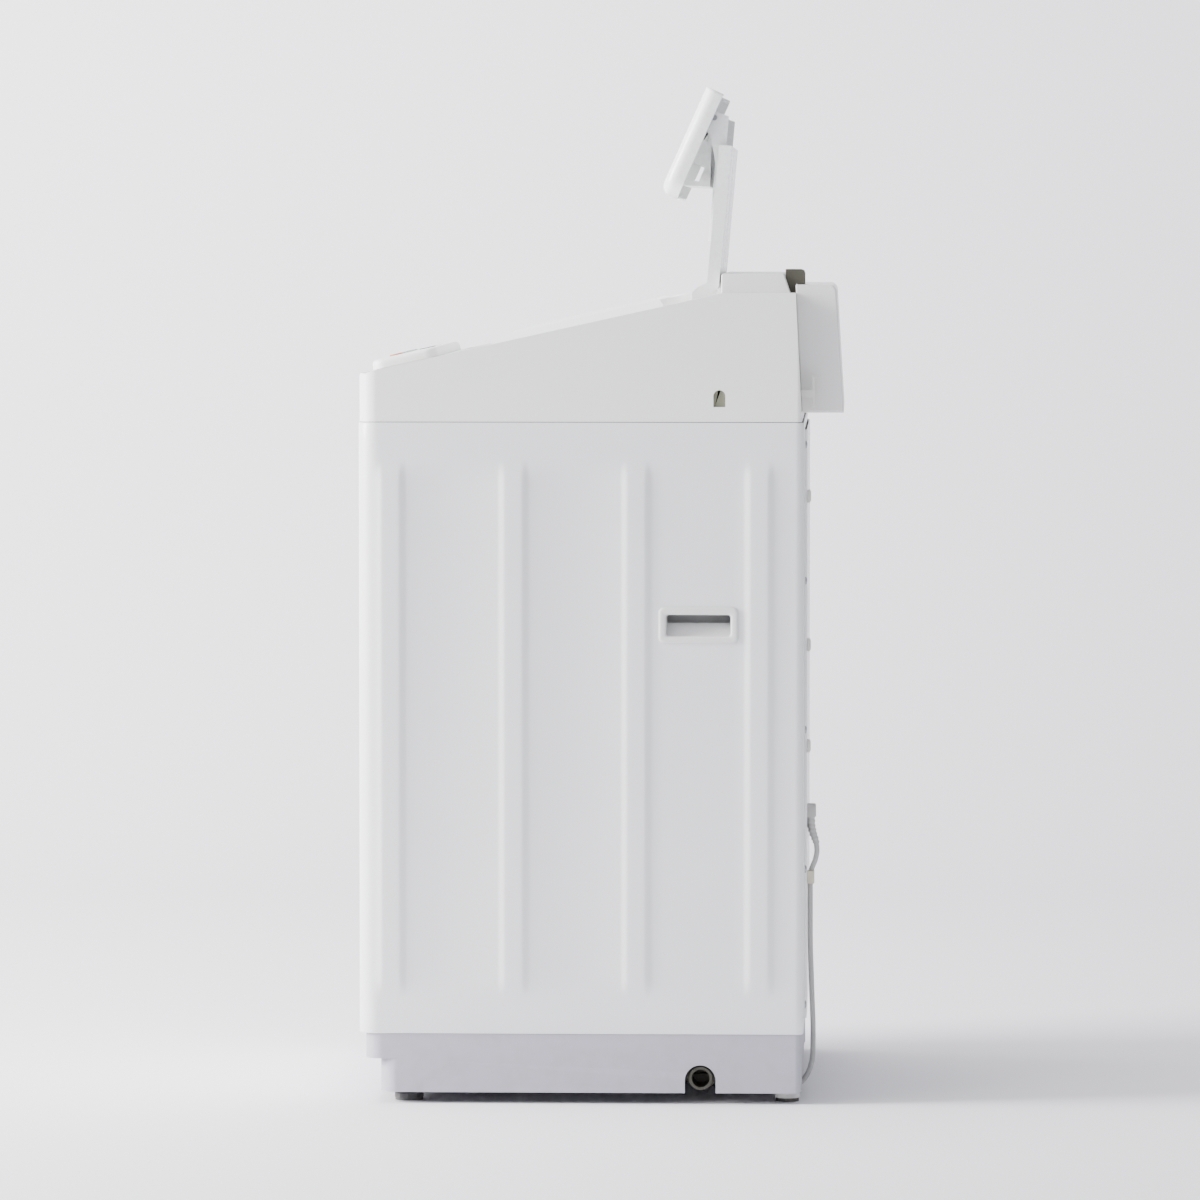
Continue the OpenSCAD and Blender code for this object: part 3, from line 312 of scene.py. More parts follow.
def finish_material(name, rgb, rough=0.4, metal=0.0, grain=900.0, grain_depth=0.00002, tone=0.04,
                    tone_scale=9.0, stretch=(1, 1, 1), wave=0.0, dust_and_shade=0.0, dust_and_shade_rgb=(120, 112, 100),
                    coat=0.0, specular=0.5, wear=0.0, under=0.0):
    """One finish: colour with slow tone change, grain bump, uneven gloss, dust with painted shade in
    hollows, and edge wear.

    grain is the grain's frequency per metre and grain_depth its height in metres. wave is the
    height of the slow ripple that pressed sheet and large mouldings have. The dust amount paints
    shade into hollows by ambient occlusion, in a dust colour, and wear lightens the edges. under is how
    strong the scuffs are at the floor, from 0 to 1.
    """
    made, tree, shader = material(name)
    base = linear(rgb)
    where = tree.nodes.new("ShaderNodeTexCoord").outputs["Object"]
    slow = add_noise(tree, where, tone_scale, 4.0)
    fine = add_noise(tree, where, grain, 2.0, stretch)
    middle = add_noise(tree, where, grain / 9, 3.0, stretch)
    darker = tuple(c * (1 - tone) for c in base)
    lighter = tuple(min(1.0, c * (1 + tone * 0.6)) for c in base)
    colour = add_mix(tree, add_range(tree, slow, 0, 1), darker, lighter)
    colour = add_mix(tree, add_range(tree, middle, 0, 0.35 if metal else 0.05), colour,
                     tuple(c * 0.86 for c in base))
    # Hollows darkened by ambient occlusion: painted shade, in a dust colour.
    if dust_and_shade:
        hollow = tree.nodes.new("ShaderNodeAmbientOcclusion")
        hollow.samples = 4
        hollow.inputs["Distance"].default_value = 0.012
        inside = add_range(tree, hollow.outputs["AO"], 1, 0, 0.35, 0.95)
        patchy = add_math(tree, "MULTIPLY", inside, add_range(tree, middle, 0.4, 1.0))
        amount = add_math(tree, "MULTIPLY", patchy, dust_and_shade)
        colour = add_mix(tree, amount, colour, linear(dust_and_shade_rgb))
    if under:
        height = tree.nodes.new("ShaderNodeSeparateXYZ")
        tree.links.new(where, height.inputs[0])
        low = add_range(tree, height.outputs["Z"], under, 0, 0.0, 0.16)
        patches = add_range(tree, add_noise(tree, where, 60, 5.0), 0, 1, 0.45, 0.7)
        scuffed = add_math(tree, "MULTIPLY", low, patches)
        colour = add_mix(tree, scuffed, colour, linear(dust_and_shade_rgb))
    if wear:
        edge = tree.nodes.new("ShaderNodeNewGeometry").outputs["Pointiness"]
        sharp = add_range(tree, edge, 0, wear, 0.515, 0.56)
        broken = add_math(tree, "MULTIPLY", sharp, add_range(tree, middle, 0.3, 1.0))
        colour = add_mix(tree, broken, colour, tuple(min(1.0, c * 1.35 + 0.02) for c in base))
    tree.links.new(colour, shader.inputs["Base Color"])
    uneven = add_math(tree, "ADD", slow, middle)
    gloss = add_range(tree, uneven, rough * 0.86, min(1.0, rough * 1.16), 0.7, 1.3)
    tree.links.new(gloss, shader.inputs["Roughness"])
    shader.inputs["Metallic"].default_value = metal
    shader.inputs["Specular IOR Level"].default_value = specular
    shader.inputs["Coat Weight"].default_value = coat
    shader.inputs["Coat Roughness"].default_value = 0.12
    normal = add_bump(tree, fine, grain_depth)
    if wave:
        normal = add_bump(tree, add_noise(tree, where, 6.0, 1.0), wave, normal)
    tree.links.new(normal, shader.inputs["Normal"])
    return made


# Finishes, keyed by the record's slots, then those of small added pieces
FINISHES = {
    "cabinet_white": dict(rgb=(236, 237, 238), rough=0.34, grain=700, grain_depth=0.000012, tone=0.012,
                          wave=0.0004, coat=0.25, dust_and_shade=0.12, wear=0.2),
    "cover_white": dict(rgb=(240, 240, 238), rough=0.36, grain=1400, grain_depth=0.000004, tone=0.012,
                        wave=0.0001, dust_and_shade=0.16, wear=0.15),
    "lid_white": dict(rgb=(243, 244, 243), rough=0.28, grain=1500, grain_depth=0.000003, tone=0.01,
                      wave=0.0001, coat=0.2, dust_and_shade=0.14, wear=0.15),
    "trim_white": dict(rgb=(232, 231, 228), rough=0.46, grain=1000, grain_depth=0.00003, tone=0.02,
                       dust_and_shade=0.25),
    "base_grey": dict(rgb=(170, 168, 179), rough=0.5, grain=900, grain_depth=0.00003, tone=0.025,
                      dust_and_shade=0.3, under=0.16, wear=0.2),
    # The handle's white is a little darker than the other whites and darkened more in its hollows: painted
    # shade for the handle's hollow.
    "handle_white": dict(rgb=(226, 226, 226), rough=0.42, grain=1200, grain_depth=0.00003, tone=0.02,
                         dust_and_shade=0.2, wear=0.2),
    "dark_grey": dict(rgb=(96, 94, 82), rough=0.55, grain=1200, grain_depth=0.00003, tone=0.08,
                      dust_and_shade=0.4),
    "display_black": dict(rgb=(24, 27, 32), rough=0.1, grain=1500, grain_depth=0.000003, tone=0.1,
                          coat=0.6),
    "board_green": dict(rgb=(38, 92, 60), rough=0.4, grain=900, grain_depth=0.00003, tone=0.15,
                        coat=0.3),
    "button_grey": dict(rgb=(178, 183, 190), rough=0.34, grain=1600, grain_depth=0.00001, tone=0.03,
                        wear=0.4),
    "button_orange": dict(rgb=(214, 112, 62), rough=0.34, grain=1600, grain_depth=0.00001, tone=0.04,
                          wear=0.4),
    "steel": dict(rgb=(176, 178, 182), rough=0.3, metal=1.0, grain=900, grain_depth=0.00001, tone=0.1,
                  stretch=(0.2, 1, 1), dust_and_shade=0.3),
    "basket_steel": dict(rgb=(196, 198, 200), rough=0.24, metal=1.0, grain=900, grain_depth=0.000006,
                         tone=0.05, stretch=(1, 1, 0.03)),
    "cast_alloy": dict(rgb=(176, 178, 182), rough=0.42, metal=1.0, grain=600, grain_depth=0.00005,
                       tone=0.08,
                       dust_and_shade=0.2),
    "frame_steel": dict(rgb=(152, 156, 162), rough=0.42, metal=0.9, grain=260, grain_depth=0.00002,
                        tone=0.16,
                        tone_scale=40, dust_and_shade=0.3),
    "tub_plastic": dict(rgb=(226, 229, 230), rough=0.5, grain=900, grain_depth=0.00003, tone=0.03,
                        dust_and_shade=0.25),
    "ring_plastic": dict(rgb=(232, 236, 240), rough=0.3, grain=1500, grain_depth=0.00001, tone=0.02,
                         coat=0.2),
    "pulsator_blue": dict(rgb=(186, 204, 220), rough=0.3, grain=1500, grain_depth=0.00001, tone=0.03,
                          coat=0.2),
    "filter_white": dict(rgb=(214, 226, 236), rough=0.38, grain=1500, grain_depth=0.00001, tone=0.03),
    "motor_grey": dict(rgb=(70, 74, 80), rough=0.45, grain=700, grain_depth=0.00003, tone=0.1, coat=0.1,
                       dust_and_shade=0.3),
    "spring_steel": dict(rgb=(112, 114, 118), rough=0.36, metal=1.0, grain=900, grain_depth=0.00001,
                         tone=0.1),
    "pad_rubber": dict(rgb=(52, 51, 52), rough=0.72, grain=1500, grain_depth=0.00004, tone=0.12,
                       specular=0.3,
                       under=0.5, dust_and_shade_rgb=(140, 134, 126)),
    "foot_grey": dict(rgb=(64, 64, 66), rough=0.55, grain=1200, grain_depth=0.00003, tone=0.1, under=0.4,
                      dust_and_shade_rgb=(140, 134, 126)),
    "belt_rubber": dict(rgb=(36, 36, 37), rough=0.66, grain=1500, grain_depth=0.00004, tone=0.12,
                        specular=0.3),
    "valve_white": dict(rgb=(206, 210, 218), rough=0.45, grain=900, grain_depth=0.00003, tone=0.04,
                        dust_and_shade=0.2),
    "clamp_ivory": dict(rgb=(226, 219, 198), rough=0.45, grain=1500, grain_depth=0.00002, tone=0.04,
                        dust_and_shade=0.3),
    "cord_grey": dict(rgb=(186, 186, 184), rough=0.5, grain=1800, grain_depth=0.00003, tone=0.05,
                      dust_and_shade=0.2,
                      under=0.2),
    "tie_black": dict(rgb=(34, 34, 36), rough=0.5, grain=1500, grain_depth=0.00003, tone=0.1),
    "blade_brass": dict(rgb=(206, 184, 128), rough=0.28, metal=1.0, grain=900, grain_depth=0.00001,
                        tone=0.08),
    "lamp_green": dict(rgb=(120, 206, 140), rough=0.2, grain=1500, grain_depth=0.000004, tone=0.05,
                       coat=0.4),
    # Colour of the strip in the cover's seam: painted shadow for the gap line.
    "seam_shadow_dark": dict(rgb=(58, 60, 63), rough=0.5, grain=1200, grain_depth=0.00003, tone=0.08,
                         dust_and_shade=0.3),
    # Colour of the catches in the side holes: painted shade for the unlit inside of the holes.
    "hole_shade_olive": dict(rgb=(128, 128, 110), rough=0.6, grain=1200, grain_depth=0.00003, tone=0.06,
                       dust_and_shade=0.2),
}
materials = {name: finish_material(name, **kind) for name, kind in FINISHES.items()}


SLOT_OF = {sub["node"]: sub["material_slot"] for sub in frame["record"]["subparts"]}
for name, made in nodes.items():
    made.data.materials.clear()
    made.data.materials.append(materials[SLOT_OF[name]])


# ---- CAD nodes that stay: rounded edges, in millimetres ----
EDGE_ROUNDING = {
    "rear_box": 2.5, "rear_cover": 1.4, "inlet_port": 1.2, "back_panel": 0.3, "base": 0.8,
    "lid_rear_liner": 0.8,
    "lid_front_tray": 0.8, "cable_clips": 0.5, "hose_hooks": 0.8, "display_window": 0.3,
    "cord_clamp": 0.6,
    "levelling_foot_left": 0.6, "levelling_foot_right": 0.6, "rear_feet": 0.6, "rear_foot_pads": 0.6,
    "control_board": 0.2, "inlet_valve": 1.5, "fill_spout": 1.2, "tub": 0.8, "tub_cover": 0.8,
    "basket_base": 0.8,
    "balance_ring": 0.8, "lint_filter": 0.5, "pulsator_screw": 0.4, "wash_shaft": 0.5, "spin_shaft": 0.3,
    "clutch_housing": 2.0, "drive_frame": 0.6, "motor": 2.5, "motor_pulley": 0.4, "drive_pulley": 0.6,
    "run_capacitor": 1.5, "drain_valve": 1.5, "drain_outlet": 0.8, "suspension_rods": 0.4,
    "rod_hangers": 0.4,
    "lid_hinge_pins": 0.4, "lid_fold_pins": 0.4, "lid_bumpers": 0.8, "top_cover": 1.0,
    "lid_rear_panel": 1.0,
    "power_on_button": 0.5, "power_off_button": 0.5, "start_button": 0.5, "course_button": 0.5,
    "water_level_button": 0.5, "timer_button": 0.5, "cord_gland": 0.5,
}


def smooth_node(name, width):
    """Rounded edges on a CAD node. Its mesh stays as packed."""
    made = nodes[name]
    weld = made.modifiers.new("weld", "WELD")
    weld.merge_threshold = 1e-5
    rounding(made, width).modifiers["rounding"].harden_normals = False
    flat = made.modifiers.new("flat_faces", "WEIGHTED_NORMAL")
    flat.weight = 100
    flat.thresh = 0.001
    made.data.polygons.foreach_set("use_smooth", [True] * len(made.data.polygons))


for name, width in EDGE_ROUNDING.items():
    smooth_node(name, width)


# ---- Cabinet shell with soft pressed ribs ----
HALF_W, HALF_D = 263.0, 238.5
CAB_Z0, CAB_Z1 = 75.0, 730.5
RIB_Y = [190.6 - 131.4 * i for i in range(4)]
RIB_HALF, RIB_FLANK, RIB_RISE = 17.5, 9.0, 2.5
RIB_Z0, RIB_Z1, RIB_RAMP = CAB_Z0 + 37, CAB_Z1 - 37, 26.0
FRONT_R, REAR_R = 20.0, 8.0
BACK_HALF, BACK_Z0, BACK_Z1 = 212.0, 98.0, 712.0
SHEET = 1.0
HANDLE_Y, HANDLE_Z, HANDLE_LIP = (83.3, 168.2), (495.0, 533.5), 6.0


def rib_height(y, z):
    across = max(smoothstep((RIB_HALF - abs(y - c)) / RIB_FLANK) for c in RIB_Y)
    along = smoothstep(min(z - RIB_Z0, RIB_Z1 - z) / RIB_RAMP)
    return RIB_RISE * across * along


def side_stops():
    """Places along a side where the shell's mesh has a line, front to rear."""
    stops = {HANDLE_Y[0] + HANDLE_LIP, HANDLE_Y[1] - HANDLE_LIP, -215.0, 228.0, 0.0, 110.0, 140.0}
    for c in RIB_Y:
        stops |= {c + d * s for d in (17.5, 15.5, 13.5, 11.5, 9.5, 8.0, 4.0) for s in (-1, 1)} | {c}
    return sorted(y for y in stops if -217 < y < 230)


def cabinet_ring(margin, z, ribs=True):
    """One level of the shell, drawn in by margin, with the ribs standing out of its sides."""
    w, d = HALF_W - margin, HALF_D - margin
    front_r, rear_r = max(3.0, FRONT_R - margin), max(3.0, REAR_R - margin)
    plan = []
    for sx in (1, -1):
        side = [(w, y) for y in side_stops()]
        front = [(w - front_r + front_r * math.sin(a), -d + front_r - front_r * math.cos(a))
                 for a in (math.radians(90 * i / 8) for i in range(9))]
        rear = [(w - rear_r + rear_r * math.cos(a), d - rear_r + rear_r * math.sin(a))
                for a in (math.radians(90 * i / 5) for i in range(6))]
        half = front + side + rear
        plan += half if sx == 1 else [(-x, y) for x, y in reversed(half)]
        if sx == 1:
            plan += [(BACK_HALF, d), (0.0, d), (-BACK_HALF, d)]
    ring = []
    for x, y in plan:
        out = rib_height(y, z) if ribs and abs(x) > w - 4 else 0.0
        ring.append(point(x + math.copysign(out, x), y, z))
    return ring


def cabinet_shell():
    ramp = [RIB_RAMP * k / 7 for k in range(8)]
    levels = [76.5, BACK_Z0, 105, *(RIB_Z0 + r for r in ramp), 200, 270, 340, 410, 470,
              HANDLE_Z[0] + HANDLE_LIP, HANDLE_Z[1] - HANDLE_LIP, 560, 610,
              *(RIB_Z1 - r for r in reversed(ramp)), BACK_Z1, 729]
    rings = [cabinet_ring(18, CAB_Z0), cabinet_ring(2.5, CAB_Z0), cabinet_ring(0.7, CAB_Z0 + 0.4)]
    rings += [cabinet_ring(0, z) for z in levels]
    rings += [cabinet_ring(0.4, CAB_Z1 - 0.4), cabinet_ring(1, CAB_Z1)]
    shape = Shape()
    shape.loft(rings, ends=(False, False))
    kept = []
    for face in shape.faces:
        x, y, z = sum((shape.points[i] for i in face), Vector()) / len(face) / MM
        y -= MID_Y
        grip = (abs(x) > 260 and HANDLE_Y[0] + HANDLE_LIP < y < HANDLE_Y[1] - HANDLE_LIP
                and HANDLE_Z[0] + HANDLE_LIP < z < HANDLE_Z[1] - HANDLE_LIP)
        window = y > HALF_D - 1 and abs(x) < BACK_HALF and BACK_Z0 < z < BACK_Z1
        if not grip and not window:
            kept.append(face)
    shape.faces = kept
    made = make("cabinet_shell", shape, materials["cabinet_white"], angle=40)
    sheet = made.modifiers.new("sheet", "SOLIDIFY")
    sheet.thickness = SHEET * MM
    sheet.offset = -1
    settle(made, 40)
    return place(made, "root", ["cabinet"])


# ---- Carry handles ----
HANDLE_DEPTH, HANDLE_WALL = 44.0, 1.2


def handle_cup(side, name):
    """A bezel with a bowed face, the hollow behind it, a sloped floor and a back wall."""
    y0, y1 = HANDLE_Y
    z0, z1 = HANDLE_Z
    steps = 7

    def outline(inset, x, r, bow=0.0):
        ring = []
        for y, z in rounded(y0 + inset, z0 + inset, y1 - inset, z1 - inset, r, steps):
            lift = bow * (1 - ((y - (y0 + y1) / 2) / (y1 - y0) * 2) ** 2)
            ring.append(point(side * (x + lift), y, z))
        return ring

    def mouth(grow, x, r):
        return [point(side * x, y, z) for y, z in rounded(y0 + 8 - grow, z0 + 7.5 - grow, y1 - 8 + grow,
                                                          z1 - 8.3 + grow, r, steps)]
    rings = [outline(0.2, HALF_W + 0.05, 6), outline(0, HALF_W + 0.5, 6), outline(0, HALF_W + 1.0, 6, 0.2),
             outline(0.5, HALF_W + 1.6, 5.6, 0.3), outline(1.4, HALF_W + 2.0, 4.8, 0.4),
             outline(3.0, HALF_W + 2.05, 3.6, 0.42), mouth(2.2, HALF_W + 2.0, 4.4),
             mouth(1.0, HALF_W + 1.6, 3.6), mouth(0.3, HALF_W + 0.8, 3.2), mouth(0, HALF_W - 0.6, 3.0),
             mouth(-0.3, HALF_W - 12, 3.0), mouth(-0.5, HALF_W - 22, 3.0)]
    shape = Shape()
    shape.loft(rings, ends=(False, False))
    # the floor leads the fingers up and in, over the gap before the back wall
    floor = [(HALF_W - 2.5, z0 + 7.6), (HALF_W - 5, z0 + 8.4), (HALF_W - 10, z0 + 12),
             (HALF_W - 16, z0 + 17), (HALF_W - 22, z0 + 20.5)]
    lines = [shape.ring([point(side * x, y, z) for y in (y0 + 8.2, y1 - 8.2)]) for x, z in floor]
    for a, b in zip(lines, lines[1:]):
        shape.bridge(a, b, closed=False)
    back = HALF_W - HANDLE_DEPTH
    shape.cap(shape.ring([point(side * back, y, z)
                          for y, z in rounded(y0 + 3, z0 + 15, y1 - 3, z1, 4, 4)]))
    # Its finish is darker and darkened in the hollow: painted shade inside the handle.
    made = make(name, shape, materials["handle_white"], angle=50)
    wall = made.modifiers.new("wall", "SOLIDIFY")
    wall.thickness = HANDLE_WALL * MM
    wall.offset = -1
    settle(made, 50)
    return place(made, "root")


# ---- Power cord: its whole length on one smooth line ----
CORD_R = 0.003
CORD_ROUTE = [
    (0.140, 0.2238, 0.300), (0.140, 0.2248, 0.290), (0.140, 0.227, 0.281), (0.140, 0.230, 0.272),
    (0.140, 0.231, 0.262), (0.140, 0.229, 0.252), (0.140, 0.2256, 0.244), (0.140, 0.2238, 0.234),
    (0.140, 0.2238, 0.216), (0.140, 0.2238, 0.190), (0.140, 0.224, 0.160), (0.140, 0.225, 0.130),
    (0.140, 0.226, 0.100), (0.140, 0.227, 0.075), (0.140, 0.227, 0.050), (0.140, 0.226, 0.034),
    (0.140, 0.221, 0.019), (0.140, 0.212, 0.008), (0.139, 0.200, 0.0032), (0.136, 0.183, 0.0032),
    (0.128, 0.160, 0.0032), (0.110, 0.130, 0.0032), (0.080, 0.100, 0.0032), (0.040, 0.075, 0.0032),
    (-0.010, 0.055, 0.0032), (-0.070, 0.044, 0.0032), (-0.130, 0.039, 0.0032), (-0.190, 0.037, 0.0032),
    (-0.240, 0.037, 0.0032), (-0.280, 0.037, 0.0032), (-0.314, 0.037, 0.0032),
]
COIL_AT = (-0.330, -0.002)
COIL_TURNS = 5.25
COIL_COLUMNS = (0.039, 0.033, 0.027)
COIL_LAYERS = (0.0032, 0.0094)
PLUG_NECK = (-0.369, -0.016, 0.0088)
GLAND_FOOT = 299.5


def catmull(a, b, c, d, t):
    return 0.5 * (2 * b + (c - a) * t + (2 * a - 5 * b + 4 * c - d) * t * t
                  + (3 * b - a - 3 * c + d) * t * t * t)


def smooth_line(points, steps):
    points = [Vector(p) for p in points]
    last = len(points) - 1
    line = []
    for i in range(last):
        around = (points[max(i - 1, 0)], points[i], points[i + 1], points[min(i + 2, last)])
        line += [catmull(*around, k / steps) for k in range(steps)]
    return line + [points[-1]]


def coil_line():
    """The coil's turns on two layers, from the end of the route to the plug's neck."""
    line = []
    first = math.pi / 2
    count = int(COIL_TURNS * 40)
    columns = COIL_COLUMNS + tuple(reversed(COIL_COLUMNS))
    for i in range(1, count + 1):
        whole, part = divmod(COIL_TURNS * i / count, 1)
        k = int(whole)
        inward = k < 2
        shift = smoothstep((part - 0.75) / 0.25) if inward else smoothstep((part - 0.35) / 0.25)
        after = columns[min(k + 1, 5)]
        if k == 2:
            shift = 0
        r = columns[k] + (after - columns[k]) * shift
        layer = 0.0 if k < 2 else (smoothstep((part - 0.45) / 0.25) if k == 2 else 1.0)
        z = COIL_LAYERS[0] + (COIL_LAYERS[1] - COIL_LAYERS[0]) * layer
        a = first + 2 * math.pi * (whole + part)
        line.append(Vector((COIL_AT[0] + r * math.cos(a), COIL_AT[1] + r * math.sin(a), z)))
    return line


def power_cord():
    line = smooth_line(CORD_ROUTE, 2)
    exit_at = line[0]
    line += coil_line()
    line += [Vector((PLUG_NECK[0], PLUG_NECK[1] + 0.006, PLUG_NECK[2] + 0.0002)), Vector(PLUG_NECK)]
    data = bpy.data.curves.new("power_cord_flex", "CURVE")
    data.dimensions = "3D"
    data.bevel_depth = CORD_R
    data.bevel_resolution = 3
    data.resolution_u = 2
    data.use_fill_caps = True
    spline = data.splines.new("POLY")
    spline.points.add(len(line) - 1)
    for target, p in zip(spline.points, line):
        target.co = (*p, 1)
    data.materials.append(materials["cord_grey"])
    made = bpy.data.objects.new("power_cord_flex", data)
    bpy.context.scene.collection.objects.link(made)
    place(made, "root", ["power_cord", "power_cord_coil"])
    length = sum((b - a).length for a, b in zip(line, line[1:]))
    return made, exit_at, length


def cord_sleeve():
    """Ribbed strain relief, tapered along the cord's first stretch."""
    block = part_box("cord_gland")
    line = smooth_line(CORD_ROUTE[:5], 8)[:26]
    radii = []
    for i in range(len(line)):
        taper = 0.0052 - 0.0014 * i / (len(line) - 1)
        radii.append(taper if i % 4 < 2 else taper - 0.0006)
    radii[-1] = 0.0034
    shape = Shape()
    shape.tube(line, radii, 20)
    x0, y0, x1, y1 = (v / MM for v in (block[0].x, block[0].y, block[1].x, block[1].y))
    z0, z1 = GLAND_FOOT, block[1].z / MM
    levels = [(0.8, z0), (0, z0 + 0.8), (0, z1 - 1.5), (0.5, z1 - 0.5), (1.5, z1)]
    shape.loft([[Vector((x, y, z)) * MM for x, y in rounded(x0 + m, y0 + m, x1 - m, y1 - m, 1.8 - m, 4)]
                for m, z in levels])
    made = make("cord_strain_relief", shape, materials["cord_grey"], angle=50)
    return place(made, "root", ["cord_gland"])


def power_plug():
    """Moulded plug with a waisted grip and finger grooves. Its blades point away from the coil."""
    at = Vector((PLUG_NECK[0], -0.040, 0.0002))
    shape = Shape()
    rings = []
    body = [(0.0, 0.80, 0.86), (-1.0, 0.90, 0.95), (-3, 0.95, 1), (-6, 0.93, 1), (-9, 0.89, 0.97),
            (-12, 0.87, 0.95), (-15, 0.89, 0.97), (-18, 0.95, 1), (-22, 1, 1), (-25, 1, 1),
            (-26, 0.94, 0.93)]
    for y, wide, high in body:
        rings.append([Vector((x * wide, y, 7.5 + z * high)) * MM + at
                      for x, z in rounded(-12, -7.5, 12, 7.5, 4.5, 5)])
    shape.loft(rings)
    for side in (-1, 1):
        for y in (-8.5, -12, -15.5):
            ridge = [Vector((side * 10.6, y, z)) * MM + at for z in (3.5, 5.5, 7.5, 9.5, 11.5)]
            shape.tube(ridge, [0.0004, 0.0007, 0.0008, 0.0007, 0.0004], 8)
    neck = [Vector((0, y, PLUG_NECK[2] / MM - 0.2)) * MM + at
            for y in (-1, 0.6, 2, 3.5, 5, 6.5, 8, 9.5, 11, 12.5, 14, 15.5, 17, 18.5, 20, 21.5, 23, 24)]
    radii = [(5.4 - 0.09 * i - (0.7 if i % 2 else 0)) * MM for i in range(len(neck))]
    radii[-1] = 0.0033
    shape.tube(neck, radii, 20)
    made = make("power_plug_body", shape, materials["cord_grey"], angle=50)
    place(made, "root", ["power_plug"])
    blades = Shape()
    for side in (-1, 1):
        rings = []
        for y, inset in ((-25, 0), (-41, 0), (-42.4, 0.2), (-43, 0.9)):
            half = 0.75 - inset * 0.5
            rings.append([Vector((side * 6.35 + x, y, 7.5 + z)) * MM + at
                          for x, z in rounded(-half, -3 + inset, half, 3 - inset, 0.2, 2)])
        blades.loft(rings)
    brass = make("power_plug_blades", blades, materials["blade_brass"], angle=50)
    place(brass, "root")
    return made, brass


def coil_tie():
    """A flat tie round the coil's turns, with its twisted ends."""
    a = math.radians(300)
    outward = Vector((math.cos(a), math.sin(a), 0))
    along = Vector((-math.sin(a), math.cos(a), 0))
    middle = Vector((*COIL_AT, 0)) + outward * 0.033
    shape = Shape()
    outer = rounded(-9.9, 0.06, 9.9, 13.1, 3.4, 5)
    inner = rounded(-9.5, 0.16, 9.5, 12.7, 3.0, 5)
    rings = []
    for ring, shift in ((outer, -1.6), (outer, 1.6), (inner, 1.6), (inner, -1.6), (outer, -1.6)):
        rings.append([middle + outward * x * MM + along * shift * MM + Vector((0, 0, z * MM))
                      for x, z in ring])
    shape.loft(rings, ends=(False, False))
    for lean in (-1, 1):
        tail = [middle + outward * (2 + 0.9 * t) * MM + along * lean * 0.9 * t * MM
                + Vector((0, 0, (12.9 + 0.9 * math.sin(t)) * MM)) for t in (0, 1, 2, 3, 4, 5)]
        shape.tube(tail, 0.0007, 8)
    made = make("coil_tie", shape, materials["tie_black"], angle=50)
    return place(made, "root")


flex, cord_exit, cord_length = power_cord()
sleeve = cord_sleeve()
plug, blades = power_plug()
tie = coil_tie()
tuple(cord_exit)

cabinet_shell()
handles = [handle_cup(1, "handle_cup_right"), handle_cup(-1, "handle_cup_left")]
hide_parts("handle_cups")


# ---- Suspension springs ----
SPRING_FOOT, SPRING_HEAD = 268.0, 318.0
SPRING_R, WIRE_R, SPRING_TURNS = 8.5, 1.6, 6


def springs():
    """Round-wire coils at the four suspension rods."""
    low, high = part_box("suspension_rods")
    x, y = (high.x - low.x) / 2 / MM - 11, (high.y - low.y) / 2 / MM - 11
    shape = Shape()
    turns, steps = SPRING_TURNS, 28
    for sx in (-1, 1):
        for sy in (-1, 1):
            line = []
            for i in range(turns * steps + 1):
                a = 2 * math.pi * i / steps
                share = i / (turns * steps)
                closed = 0.35 * math.sin(2 * math.pi * share) / (2 * math.pi)
                z = SPRING_FOOT + 1.8 + (SPRING_HEAD - SPRING_FOOT - 3.6) * (share - closed)
                line.append(point(sx * x + SPRING_R * math.cos(a), sy * y + SPRING_R * math.sin(a), z))
            shape.tube(line, WIRE_R * MM, 10, reference=(0, 0, 1))
    made = make("suspension_spring_coils", shape, materials["spring_steel"], angle=60)
    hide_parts("suspension_springs")
    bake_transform(made)
    return made


springs()


# ---- Lid front panel: a soft-edged shell ----
def local_frame(at, turn):
    """Places (x, y, z) of a part drawn in its own frame, turned about X, in the row frame."""
    cos_a, sin_a = math.cos(math.radians(turn)), math.sin(math.radians(turn))

    def to_row(x, y, z):
        return point(x, at[0] + y * cos_a - z * sin_a, at[1] + y * sin_a + z * cos_a)
    return to_row


def box_shape(to_row, low, high):
    shape = Shape()
    corners = ((low[0], low[1]), (high[0], low[1]), (high[0], high[1]), (low[0], high[1]))
    shape.loft([[to_row(x, y, z) for x, y in corners] for z in (low[2], high[2])])
    return shape


FOLD_PIN, FRONT_TURN = (141.01, 1055.95), 65.866
FRONT = local_frame(FOLD_PIN, FRONT_TURN)
LID_X, LID_TIP, LID_BACK, LID_TOP, LID_LOW = 205.0, 97.0, 27.0, 21.1, 1.0
SHOULDER, SKIN = 12.0, 2.5
ARM_AT, ARM_NOTCH, LINER_NOTCH = 193.0, 6.8, 175.5
FOLD_BORE = 3.15


def lid_plan(inset, z, back_inset=0.0):
    """Outline of the front panel in plan, drawn in at the sides and the front."""
    front_r = max(24 - inset, 4)
    return [FRONT(x, y, z) for x, y in rounded(-LID_X + inset, -LID_TIP + inset, LID_X - inset,
                                               LID_BACK - back_inset, [front_r, front_r, 3, 3], 8)]


